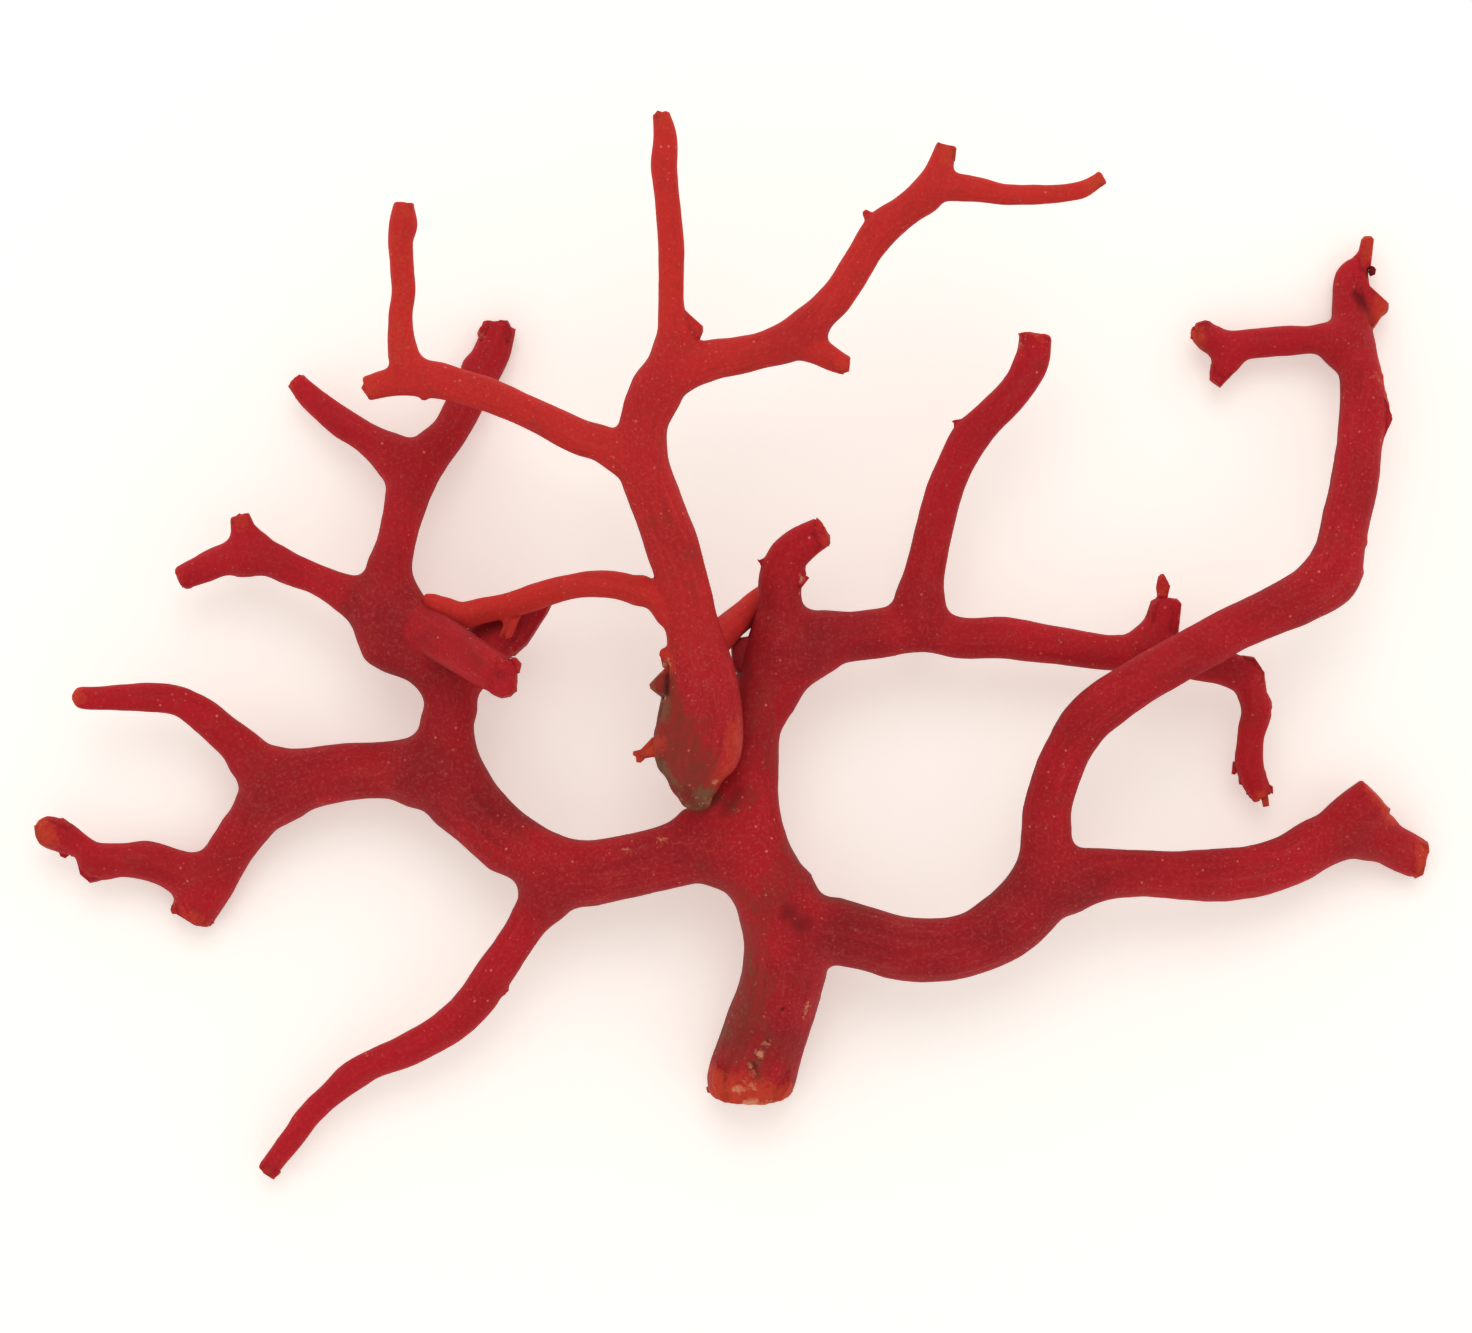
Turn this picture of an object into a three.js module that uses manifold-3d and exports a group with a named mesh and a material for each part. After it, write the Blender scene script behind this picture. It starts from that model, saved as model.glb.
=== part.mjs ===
// A dried fan of red coral, lying flat and seen from above.
// Two growths lie locked together. The dark one has the thick sawn trunk. The bright one lies on it:
// its broken foot rests on the dark limbs, one twig ends in a crook of theirs, one goes under a stub.
// Millimetres, +Z up. The origin is under the middle of the whole fan, on the surface it lies on.
import * as THREE from "three";
import { mergeVertices } from "three/addons/utils/BufferGeometryUtils.js";
import Module from "manifold-3d";

const wasm = await Module();
wasm.setup();

// Driving sizes.
const FORK_GAP = 0.3; // clear gap between two limbs where they part at a fork
const RING_STEP = 4.4; // spacing of the rings of points along a limb
const FEWEST_RINGS = 3;
const FACET_WIDTH = 2.6; // width of one face round a limb
const FEWEST_SIDES = 7;
const MOST_SIDES = 11;
const SWELLING = 0.04; // how far a limb swells and shrinks, as a part of its radius
const SWELLING_PACE = { x: 0.52, y: 0.47, z: 0.6 }; // radians of swelling to the millimetre
const THORN_SIDES = 6;
const THORN_TIP = 0.35; // radius of a thorn's blunt tip, as a part of its root's
const DISC_SIDES = 6; // of the disc that cuts a seam
const DISC_REACH = 1.4; // its radius, as a part of the limb's
const DISC_MARGIN = 0.2; // and this much wider
const MARKER = 0.4; // size of the small box that tells one piece from another
const MARKER_AHEAD = 0.4; // how far past the seam it stands, in steps between course points
const TABLE_REACH = 240; // size of the slab that stands for the surface under the fan
const TABLE_DEPTH = 10;
const SAME_POINT = 1e-4; // points closer than this are one point

// Finishes, as the two growths show them.
const DARK_CORAL = { color: 0x98262a, roughness: 0.55, metalness: 0 };
const BRIGHT_CORAL = { color: 0xb52b28, roughness: 0.5, metalness: 0 };

// The dark growth's courses. Each is a list of [x, y, z, radius] along the middle of a limb, from
// inside the limb that carries it out to its tip.
const DARK_COURSES = {
  // The thick foot, sawn across at its lower end and resting there, rising to the hub.
  trunk: [
    [2.3, -60.5, 5.5, 5.9], [2.4, -57.9, 5.9, 6.1], [3.4, -54.6, 6.6, 6], [4.6, -50.6, 8, 5.8],
    [6.5, -44.5, 10.7, 5.7], [7.3, -38.2, 13, 6], [6.5, -32.6, 14.5, 6.3],
  ],
  // From the hub up the middle, ending in a stub that curls up and to the right, sawn across.
  middle: [
    [6.2, -33.1, 14.5, 5.2], [3.8, -26.9, 15, 4.4], [2.5, -20.7, 15, 3.9], [2.4, -14.3, 15, 3.8],
    [2.9, -7.5, 15, 3.9], [4.7, -0.7, 15, 3.9], [6.5, 4.3, 15.5, 3.9], [6.9, 7.6, 16, 3.4],
    [6.4, 10.8, 17, 3.1], [7.2, 13.6, 18, 2.8], [9.1, 15.6, 19.5, 2.5], [12, 17.3, 21, 2.1],
  ],
  // The flesh that fills the corners between the hub's limbs.
  hub_web: [
    [-8.4, -25.3, 14, 2.7], [-4.5, -22.9, 14.5, 3.1], [-1.3, -19.6, 15, 3.1], [1.2, -15.8, 15, 2.8],
  ],
  middle_web: [
    [3.2, -9.5, 15, 2.9], [6.2, -4.5, 15, 3.1], [9.9, -0.2, 14.6, 3.7], [12.8, 1.6, 14.3, 3.2],
  ],
  // Out to the right, under the long right branch, and down to a ragged end.
  middle_right: [
    [5.2, -1.1, 15, 4.1], [9, 1.1, 14.8, 4.7], [12, 2.6, 14.3, 4.2], [15.6, 3.1, 14, 3.5],
    [20.5, 3.7, 13.5, 3.4], [26, 4.1, 13, 3.1], [31.2, 3, 12.3, 2.9], [36.7, 3, 12, 2.9],
    [43.8, 2, 11, 2.7], [50.2, 1.1, 10, 2.5], [57.1, 0.4, 9.5, 2.5], [63.3, -0.4, 9.2, 2.4],
    [67.6, -1.2, 8.9, 2.4], [71, -3, 8.3, 2.5], [71.7, -6.9, 7.5, 2.3], [71.3, -10.8, 6.5, 1.9],
    [71.2, -14.6, 5.5, 2.1], [72.9, -18.9, 4.6, 1.5],
  ],
  middle_right_stub: [[56.5, 1.1, 9.8, 3.4], [58.4, 4.4, 10, 2.5], [59.2, 7.8, 10.4, 2.1]],
  middle_upper: [
    [25.2, 4.1, 13, 4.2], [25.4, 7.9, 13.3, 3.7], [26, 11.7, 13.5, 2.8], [27.2, 17, 14, 2.6],
    [28.5, 22.2, 14.3, 2.6], [30.1, 26.5, 14.7, 2.5], [32.3, 30.3, 15, 2.6], [35.2, 33.4, 15.3, 2.3],
    [38.2, 36.5, 15.6, 2.3], [40.4, 40.3, 16, 2.4], [41, 44.2, 16.2, 2.2],
  ],
  // Left of the hub it sags and turns up past a fork, swells where three stubs leave it,
  // and comes down to rest on its far tip.
  left: [
    [6.3, -32.4, 14.5, 5.8], [2.5, -27.5, 14.3, 5.6], [-3.9, -25.7, 14, 4.9], [-9.7, -27, 13.6, 4.4],
    [-16, -28.5, 13, 4.4], [-21.6, -29.1, 12.6, 4.7], [-26.7, -27.6, 12.2, 4.8],
    [-31.1, -24.6, 11.8, 4.5], [-34.5, -21.6, 11.4, 4.6], [-37.8, -17.9, 11, 5.2],
    [-39.3, -13.7, 10.8, 4.8], [-39.2, -8.9, 11, 3.8], [-38.6, -5.8, 11.3, 3.6],
    [-39.8, -2.5, 11.8, 3.7], [-42.8, 0.5, 12.3, 4.9], [-45.1, 4.1, 12.8, 5.7],
    [-46.3, 7.9, 13, 4.2], [-47, 11.6, 12.6, 3.4], [-46, 16.4, 11.5, 2.7], [-44.9, 21.2, 10, 3],
    [-43.9, 25, 8.8, 3.4], [-42.3, 27.8, 8, 3.2], [-39.3, 31.1, 6.6, 2.6], [-37.4, 34.8, 5, 2.6],
    [-35.5, 38.8, 3.8, 2.6], [-33.5, 42.7, 2.7, 2.6], [-32.4, 46.5, 2.2, 2.4],
  ],
  left_lower: [
    [-24.8, -28.4, 12.2, 5], [-25.6, -32, 11.8, 4.1], [-27.8, -35.3, 11.3, 2.8],
    [-30.3, -39.3, 10.6, 2.6], [-33.2, -43.5, 9.8, 2.7], [-35.7, -47.1, 9, 2.7],
    [-38.8, -50, 8.4, 2.6], [-42.4, -52.4, 7.7, 2.4], [-46.2, -54.3, 7, 2.3],
    [-49.8, -55.8, 6.4, 2.1], [-53.2, -57.9, 5.8, 2.1], [-55.7, -60.1, 5.3, 1.8],
    [-58.4, -62.6, 4.9, 1.8], [-60.8, -65.8, 4.4, 1.7], [-64.7, -70.9, 3.8, 1.4],
  ],
  // The outer left branch, resting on its broken end, with a twig above and one below.
  left_outer: [
    [-39.3, -14.5, 10.8, 5], [-42.9, -15.3, 10.4, 5.3], [-47.3, -15.1, 9.8, 4], [-53.3, -15.4, 9, 4],
    [-57.9, -16.2, 8.4, 4.3], [-61.5, -17.3, 7.9, 4.9], [-64.9, -19.8, 7.2, 4.4],
    [-67.1, -23, 6.2, 3.4], [-69.8, -26.7, 5, 3.2], [-72.5, -31, 3.8, 3.5], [-75.3, -35.5, 2.8, 3.1],
  ],
  left_outer_upper: [
    [-61.7, -16.2, 7.9, 4.1], [-65.4, -14.6, 7.9, 3.6], [-67.8, -12, 8.2, 2.9],
    [-70.5, -9.6, 8.8, 2.5], [-73.3, -7.1, 9.5, 2.3], [-76.3, -5.5, 10.3, 2.1],
    [-80.3, -5.1, 11, 2.1], [-84.9, -5.1, 11.8, 1.8], [-88.1, -5.2, 12.2, 1.6],
    [-89.6, -5.1, 12.4, 1.1],
  ],
  left_outer_lower: [
    [-73, -30.2, 3.9, 3.8], [-74.9, -30.2, 4.2, 3.6], [-77.7, -28.9, 4.8, 2.9],
    [-80.9, -27.8, 5.2, 2.8], [-84.4, -27.6, 5.5, 2.4], [-87.7, -27.7, 5.8, 2.8],
    [-90.1, -26.1, 6.2, 2.3], [-92.2, -24.5, 6.6, 2.3], [-94.7, -23.5, 7, 2.1], [-96, -23.1, 7.1, 1],
  ],
  upper_left_side: [
    [-44.1, 25.5, 8.5, 3.6], [-46.5, 27.9, 8, 3.3], [-50, 30.3, 7.2, 2.3], [-53.6, 32.5, 6.3, 2.2],
    [-56.4, 34.6, 5.6, 1.9], [-58.6, 36.5, 5, 1.7], [-60.6, 38.7, 4.5, 1.4],
  ],
  far_left: [
    [-44.8, 4.3, 13, 5.2], [-48.4, 6.7, 13, 4.9], [-51.3, 8.4, 12.8, 3.1], [-53.9, 9.5, 12.6, 2.5],
    [-57, 11, 12, 2.1], [-60.2, 12.3, 11.4, 2.3], [-63.7, 13.9, 10.8, 2.6], [-66.6, 14.2, 10.3, 3],
    [-69.7, 13.8, 10, 2.3], [-72.6, 12.6, 9.6, 2.1], [-75.9, 11.1, 9.2, 1.6],
  ],
  far_left_spur: [[-66.2, 14.2, 10.3, 2.8], [-67, 17.1, 10.5, 2], [-67.6, 19.8, 10.8, 1.4]],
  // The sawn stub that stands up out of the fan, and the one below it that carries a bright twig.
  forward_stub: [
    [-45.2, 6, 13, 4], [-42.5, 4.3, 15.5, 3.3], [-39.9, 3.1, 18.5, 3.1], [-36.4, 1, 22, 3],
    [-33, -1, 25, 2.8], [-30, -2.7, 27.5, 2.5],
  ],
  lower_stub: [
    [-40.4, -4.4, 11.5, 3.6], [-37, -1.5, 11, 3.7], [-34, 1.6, 11, 3.6], [-30.8, 5.2, 11.2, 3.5],
    [-28.1, 7.9, 11.4, 3.1],
  ],
  // Right of the hub it sags to a fork, then climbs over the middle right branch
  // and comes down to rest near its tip.
  right: [
    [5.7, -33.3, 14.5, 6], [9.6, -36.1, 14.3, 5.4], [14.2, -37, 14, 4.6], [18.6, -38.1, 13.7, 4.4],
    [23.4, -39.4, 13.4, 4.4], [28.4, -39.5, 13.2, 4.4], [32.9, -38.4, 13.2, 4.4],
    [37.1, -36.1, 13.4, 4.7], [40.6, -32.7, 13.8, 4.8], [42.4, -28.3, 14.2, 4.1],
    [42.5, -24.2, 14.7, 3.5], [42.7, -20.1, 15.4, 3.3], [43.7, -15.9, 16.4, 3.3],
    [45.3, -12.2, 17.3, 3.2], [47.5, -8.5, 18.3, 3.4], [50.7, -5.6, 19.2, 3.4], [54.1, -3.3, 19.8, 3.2],
    [58.1, -1, 20, 3.2], [62.2, 1.3, 20, 3.2], [66.9, 3.9, 19.6, 3.2], [72.1, 6.3, 19, 3.3],
    [76.9, 8.5, 18.2, 3.6], [81.1, 11.2, 17.2, 3.7], [82.3, 15.2, 16, 3.4], [83.4, 19.8, 14.6, 3.3],
    [84.7, 24.5, 13, 3.3], [85.5, 29.2, 11.2, 3.2], [86.5, 34, 9.4, 3.4], [86.3, 38.8, 7.6, 3.1],
    [85.8, 42.8, 5.6, 3], [85.6, 46.4, 3.8, 2.8], [85.8, 49.9, 2.6, 2.8], [85.8, 53, 2.3, 2.5],
    [86.6, 55.2, 2.6, 1.5],
  ],
  right_tip_spike: [[86, 52, 2.8, 2.1], [87, 55.2, 3.2, 1.3], [87.3, 56.5, 3.4, 1], [87.9, 58.4, 3.6, 0.7]],
  right_tip_thorn: [[86.5, 49.1, 3.2, 2.5], [88.7, 48.8, 3.4, 1.9], [90.6, 49.2, 3.6, 0.6]],
  right_side: [
    [86.2, 43.3, 5.4, 3.8], [83.2, 44.1, 5.2, 2.9], [79.7, 44.3, 5, 2.3], [75.5, 44.1, 4.8, 2.1],
    [71.4, 43.7, 4.6, 2.1], [68.1, 43.5, 4.6, 2.2], [65.5, 44.7, 4.6, 2.1], [64.3, 46.2, 4.6, 1.5],
  ],
  right_side_spur: [[70, 43.4, 4.7, 1.8], [68.1, 41.2, 4.5, 2], [66.6, 38.6, 4.2, 1]],
  right_outer: [
    [40.9, -30.8, 14, 4.7], [44.7, -30.1, 13.8, 4.9], [49.7, -29.3, 13.4, 3.7],
    [55.5, -29.1, 12.6, 3.3], [61, -29.4, 11.8, 3.4], [66.6, -29.4, 10.8, 3.6],
    [71.6, -28.9, 9.6, 3.6], [76.5, -27.4, 8.2, 3.6], [81, -25.1, 7, 3.7], [85.3, -23.9, 5.8, 3.6],
    [90.5, -25.5, 4.2, 3.2], [95.1, -27.6, 2.7, 2.8],
  ],
  right_outer_stub: [[82.5, -25.1, 6.6, 3.9], [85.3, -21.6, 7.2, 3.6], [88.4, -18.6, 7.8, 3]],
};

// The bright growth's courses.
const BRIGHT_COURSES = {
  // From the broken, tapering foot up to the topmost tip.
  trunk: [
    [-4.1, -19.8, 20, 1.1], [-4.9, -17.9, 20.7, 3], [-5.3, -15.6, 21.5, 4.4],
    [-5, -12.8, 22.2, 5.8], [-4.5, -9.8, 22.5, 5.9], [-4.1, -6.2, 22.9, 5.3], [-4.3, -1.1, 23.5, 4.4],
    [-5.5, 4.6, 24.3, 3.7], [-6.7, 10, 25.4, 3.5], [-8.2, 15.3, 27, 3.6], [-9.7, 19.6, 28, 3.5],
    [-11.3, 23.8, 29, 3.4], [-12.2, 27.5, 29.6, 3.6], [-11.7, 31.7, 30.2, 3.3],
    [-10.1, 35.6, 30.8, 3.6], [-8.6, 39.1, 31.2, 3.4], [-7.7, 42.5, 31.6, 2.6], [-8.1, 46.1, 32, 1.8],
    [-8.2, 50, 32.4, 1.7], [-8.2, 54.2, 32.8, 1.8], [-8.6, 59.8, 33.3, 1.7], [-9.1, 64.4, 33.7, 1.7],
    [-9, 68.9, 34, 1.6], [-9.5, 71.9, 34.2, 1.2],
  ],
  left: [
    [-12.4, 26.2, 29.5, 3.4], [-15, 27.5, 29.5, 2.9], [-17.4, 28.6, 29.4, 2.5],
    [-20.5, 29.6, 29.2, 2.4], [-24, 31.4, 29, 2.3], [-28, 33.3, 28.8, 2.2], [-32.3, 35.1, 28.5, 2.3],
    [-36, 36.3, 28.2, 2.3], [-39.5, 37.2, 28, 2.5], [-42.7, 37.3, 27.8, 2.3],
    [-45.9, 36.8, 27.6, 1.9], [-48.8, 36, 27.4, 1.6],
  ],
  left_upper: [
    [-40.6, 36.9, 28, 2.3], [-43.2, 39, 28, 2.3], [-44, 41.8, 28.2, 1.9], [-44.1, 45.7, 28.6, 1.6],
    [-43.7, 49, 29, 1.6], [-43.9, 51.9, 29.4, 1.6], [-44.1, 55.3, 29.8, 1.7], [-43.7, 57.9, 30, 1.9],
    [-43.6, 60.4, 30.2, 1.3],
  ],
  right: [
    [-9.4, 37, 31, 3.4], [-6.3, 38.7, 31.2, 3.2], [-2.8, 39.6, 31.3, 2.7], [0.6, 40.1, 31.5, 2.5],
    [4.3, 41, 31.8, 2.5], [8.1, 42.4, 32, 2.9], [11, 44.6, 32.3, 2.8], [13.4, 47.6, 32.6, 2.3],
    [15.6, 50.8, 33, 2.2], [17.8, 54.3, 33.4, 2.2], [19.8, 56.9, 33.8, 2.4], [22.8, 59.2, 34.2, 2.2],
    [25.7, 61.5, 34.6, 2.4], [27.1, 64.5, 34.8, 1.8], [28, 67.6, 35, 1.3],
  ],
  right_stub: [[8.8, 41.9, 32, 2.4], [11.2, 40.8, 32, 2], [13.3, 39.5, 32, 1.6], [15, 38.7, 32, 1.3]],
  right_twig: [
    [26.6, 62.2, 34.7, 2.1], [29.2, 62, 34.9, 1.9], [32.4, 61.6, 35.1, 1.6], [35.6, 61, 35.4, 1.4],
    [38.9, 60.9, 35.6, 1.3], [42.5, 61, 35.8, 1.2], [45.7, 61.6, 36, 1.2], [48.4, 63.2, 36.2, 0.9],
  ],
  // Arches left and down onto the dark lower stub, and ends in the crook under the forward stub.
  lower: [
    [-5.8, 5, 24.5, 2.9], [-8.7, 6.9, 24.6, 2.5], [-11.7, 8.7, 24.4, 2.1], [-15.2, 9.9, 23.8, 1.9],
    [-19.2, 10.2, 23, 1.8], [-23, 9.6, 21.6, 1.7], [-26.7, 8.5, 19.2, 1.8], [-30.5, 7.3, 17.2, 1.8],
    [-33.8, 6.7, 16.1, 1.8], [-36.9, 7.2, 16.4, 1.7], [-39.5, 8.3, 17.1, 1.4], [-41.8, 9.6, 17.8, 1],
  ],
  lower_spur: [[-30.5, 6.7, 17.2, 1.1], [-30.6, 4.7, 17.3, 0.7], [-31.4, 3, 17.4, 0.5]],
  // Dives down to the right and under the dark growth's curled stub, which locks the two together.
  back: [[-4.5, 1, 22.5, 2.7], [-1.5, 3.5, 19, 2.3], [0.8, 6.6, 14.2, 1.8], [3.4, 9.2, 10.8, 1.5]],
};

// Each piece is the stretch of a course past its seam. The seam's place counts the course's points,
// so 2.5 is halfway between its third and its fourth. The trunks have no seam: they start their growth.
const DARK_PIECES = {
  trunk: ["trunk", 0],
  middle_limb: ["middle", 3.4],
  middle_right_branch: ["middle_right", 3.1],
  middle_upper_twig: ["middle_upper", 1.6],
  left_limb: ["left", 2.9],
  left_lower_branch: ["left_lower", 2.05],
  left_outer_branch: ["left_outer", 1.9],
  left_outer_upper_twig: ["left_outer_upper", 1.6],
  left_outer_lower_twig: ["left_outer_lower", 2.1],
  upper_left_branch: ["left", 11],
  upper_left_side_twig: ["upper_left_side", 1.4],
  far_left_twig: ["far_left", 2.6],
  forward_stub: ["forward_stub", 2.1],
  lower_stub: ["lower_stub", 2],
  right_limb: ["right", 2.5],
  right_upper_branch: ["right", 10.8],
  right_side_twig: ["right_side", 1.8],
  right_outer_branch: ["right_outer", 1.9],
};
const BRIGHT_PIECES = {
  bright_trunk: ["trunk", 0],
  bright_upper_twig: ["trunk", 16.5],
  bright_left_branch: ["left", 2],
  bright_left_upper_twig: ["left_upper", 1.9],
  bright_right_branch: ["right", 2.1],
  bright_right_twig: ["right_twig", 1.4],
  bright_lower_branch: ["lower", 2],
  bright_back_twig: ["back", 1.3],
};

// Thorns, torn edges and bumps that stand out from the limbs: [root, tip, radius at the root].
const DARK_THORNS = [
  [[4.9, 12.6, 18], [3.2, 13.5, 18.2], 0.8],
  [[8.3, 11.2, 17.6], [10.1, 11.6, 17.6], 0.9],
  [[3.3, -1.1, 15.1], [0.2, 1.2, 15.5], 1.3],
  [[31.8, 31.2, 15], [29.9, 32.7, 15], 1],
  [[58.9, 7.2, 10.4], [58.5, 11.8, 10.6], 1],
  [[-31.5, -44, 9.8], [-30.9, -46, 9.8], 0.7],
  [[-75.3, -33, 3.4], [-78, -34.8, 3.2], 1.6],
  [[-73.3, -34, 3.2], [-72.5, -36.6, 3], 1.5],
  [[-88.1, -28.5, 5.8], [-88.9, -31, 5.6], 1.4],
  [[-67, 12.9, 10.3], [-67.6, 11, 10.2], 0.7],
  [[84, 15.5, 16], [86.1, 16.1, 16], 0.8],
  [[83.4, 11.4, 17], [85.5, 11.8, 17], 1],
  [[87.6, 33.8, 9.4], [90.2, 32.9, 9.4], 2],
];
const BRIGHT_THORNS = [
  [[-7.6, 0.3, 23.6], [-9.9, 1.1, 23.8], 1.6],
  [[-8, -3.2, 22.6], [-11.3, -3.3, 22.2], 2],
  [[-10, -12, 22], [-13.5, -12.7, 22.2], 1.4],
  [[-6.6, 41.8, 31.8], [-4.3, 43.7, 31.9], 1.3],
  [[18.7, 57.1, 33.7], [17.2, 59, 33.8], 1],
  [[-41, 36, 27.9], [-41.1, 34.4, 27.9], 1],
];

// A closed three.js geometry as a solid.
function solidFrom(geometry) {
  geometry.deleteAttribute("normal");
  geometry.deleteAttribute("uv");
  const merged = mergeVertices(geometry, SAME_POINT);
  return new wasm.Manifold(
    new wasm.Mesh({
      numProp: 3,
      vertProperties: merged.getAttribute("position").array,
      triVerts: new Uint32Array(merged.index.array),
    }),
  );
}

// Turns a geometry that stands on the Y axis so that it runs from one point to another.
function between(geometry, from, to) {
  const along = new THREE.Vector3().subVectors(to, from).normalize();
  const turn = new THREE.Quaternion().setFromUnitVectors(new THREE.Vector3(0, 1, 0), along);
  const middle = new THREE.Vector3().addVectors(from, to).multiplyScalar(0.5);
  return geometry.applyQuaternion(turn).translate(middle.x, middle.y, middle.z);
}

// The middle line of a limb, and its radius at the same parameter.
function middleLine(course) {
  return new THREE.CatmullRomCurve3(course.map(([x, y, z]) => new THREE.Vector3(x, y, z)));
}
function radiusAt(course, t) {
  return new THREE.SplineCurve(course.map(([, , , r], i) => new THREE.Vector2(i, r))).getPoint(t).y;
}

// Slow swelling and shrinking of the flesh, between -1 and 1.
function swellingAt(p) {
  const { x, y, z } = SWELLING_PACE;
  return Math.sin(x * p.x + z * p.z) * Math.sin(y * p.y - z * p.z);
}

// A limb: a cylinder with many rings, each carried to its place on the middle line. A ring of flat
// faces is drawn a little wide, so that it holds as much as the round limb does.
function limbSolid(course) {
  const line = middleLine(course);
  const rings = Math.max(FEWEST_RINGS, Math.round(line.getLength() / RING_STEP));
  const { normals, binormals } = line.computeFrenetFrames(rings);
  const meanRadius = course.reduce((sum, [, , , r]) => sum + r, 0) / course.length;
  const sides = THREE.MathUtils.clamp(
    Math.round((2 * Math.PI * meanRadius) / FACET_WIDTH),
    FEWEST_SIDES,
    MOST_SIDES,
  );
  const turn = (2 * Math.PI) / sides;
  const fullness = Math.sqrt(turn / Math.sin(turn));
  const geometry = new THREE.CylinderGeometry(1, 1, 1, sides, rings);
  const position = geometry.getAttribute("position");
  for (let i = 0; i < position.count; i++) {
    const ring = Math.round((position.getY(i) + 0.5) * rings);
    const t = line.getUtoTmapping(ring / rings);
    const outwards = new THREE.Vector3()
      .addScaledVector(normals[ring], position.getZ(i))
      .addScaledVector(binormals[ring], position.getX(i));
    const radius = radiusAt(course, t) * fullness;
    const p = line.getPoint(t).addScaledVector(outwards, radius);
    p.addScaledVector(outwards, radius * SWELLING * swellingAt(p));
    position.setXYZ(i, p.x, p.y, p.z);
  }
  return solidFrom(geometry);
}

function thornSolid([root, tip, radius]) {
  const from = new THREE.Vector3(...root);
  const to = new THREE.Vector3(...tip);
  const length = from.distanceTo(to);
  const geometry = new THREE.CylinderGeometry(radius * THORN_TIP, radius, length, THORN_SIDES);
  return solidFrom(between(geometry, from, to));
}

// The thin disc that parts a piece from the one that carries it.
function seamSolid(course, station) {
  const line = middleLine(course);
  const t = station / (course.length - 1);
  const half = line.getTangent(t).multiplyScalar(FORK_GAP / 2);
  const reach = DISC_REACH * radiusAt(course, t) + DISC_MARGIN;
  const disc = new THREE.CylinderGeometry(reach, reach, FORK_GAP, DISC_SIDES);
  const centre = line.getPoint(t);
  return solidFrom(between(disc, centre.clone().sub(half), centre.clone().add(half)));
}

// A small box on a piece's middle line, just past its seam.
function markerSolid(course, station) {
  const p = middleLine(course).getPoint((station + MARKER_AHEAD) / (course.length - 1));
  return solidFrom(new THREE.BoxGeometry(MARKER, MARKER, MARKER).translate(p.x, p.y, p.z));
}

// What would reach below the surface that the fan lies on.
function tableSolid() {
  const slab = new THREE.BoxGeometry(TABLE_REACH, TABLE_REACH, TABLE_DEPTH);
  return solidFrom(slab.translate(0, 0, -TABLE_DEPTH / 2));
}

function pieceMesh(name, solid, finish) {
  const { vertProperties, triVerts } = solid.getMesh();
  const geometry = new THREE.BufferGeometry();
  geometry.setAttribute("position", new THREE.BufferAttribute(vertProperties, 3));
  geometry.setIndex(new THREE.BufferAttribute(triVerts, 1));
  geometry.computeVertexNormals();
  const mesh = new THREE.Mesh(geometry, new THREE.MeshStandardMaterial(finish));
  mesh.name = name;
  return mesh;
}

// Joins a growth's limbs and thorns, parts them at the seams, and names each piece.
function growth(courses, thorns, pieces, finish) {
  const flesh = [...Object.values(courses).map(limbSolid), ...thorns.map(thornSolid)];
  let whole = flesh.reduce((sum, solid) => sum.add(solid)).subtract(tableSolid());
  for (const [course, station] of Object.values(pieces)) {
    if (station > 0) whole = whole.subtract(seamSolid(courses[course], station));
  }
  const parted = whole.decompose();
  const group = new THREE.Group();
  for (const [name, [course, station]] of Object.entries(pieces)) {
    const marker = markerSolid(courses[course], station);
    const solid = parted.find((piece) => piece.intersect(marker).volume() > 0);
    group.add(pieceMesh(name, solid, finish));
  }
  return group;
}

const coral = new THREE.Group();
coral.add(growth(DARK_COURSES, DARK_THORNS, DARK_PIECES, DARK_CORAL));
coral.add(growth(BRIGHT_COURSES, BRIGHT_THORNS, BRIGHT_PIECES, BRIGHT_CORAL));

export default coral;
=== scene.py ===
import math

import bmesh
import bpy
import numpy as np
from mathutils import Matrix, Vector, noise


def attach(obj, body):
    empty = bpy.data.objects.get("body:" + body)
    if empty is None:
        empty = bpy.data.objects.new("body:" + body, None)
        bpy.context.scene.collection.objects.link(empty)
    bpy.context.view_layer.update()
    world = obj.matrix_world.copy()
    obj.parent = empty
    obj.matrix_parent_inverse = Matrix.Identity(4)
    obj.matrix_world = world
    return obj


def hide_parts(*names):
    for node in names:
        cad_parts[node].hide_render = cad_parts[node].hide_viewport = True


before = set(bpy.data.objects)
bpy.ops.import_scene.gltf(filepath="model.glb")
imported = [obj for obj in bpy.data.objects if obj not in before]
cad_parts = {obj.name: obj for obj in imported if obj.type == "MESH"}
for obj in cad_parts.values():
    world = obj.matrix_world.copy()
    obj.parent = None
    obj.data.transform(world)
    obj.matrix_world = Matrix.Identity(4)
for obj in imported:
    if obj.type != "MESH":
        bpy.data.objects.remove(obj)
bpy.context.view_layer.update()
MM = 0.001

# The view: straight down on the fan from an arm's length, as it was photographed on a sheet of
# paper. The paper's near edge is at the bottom of the picture, where the sawn trunk points.
EYE_HEIGHT = 600 * MM
EYE_X = 0.35 * MM
EYE_Y = -0.9 * MM
SENSOR_WIDTH = 36
PAPER_IN_VIEW = 205.07 * MM

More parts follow.
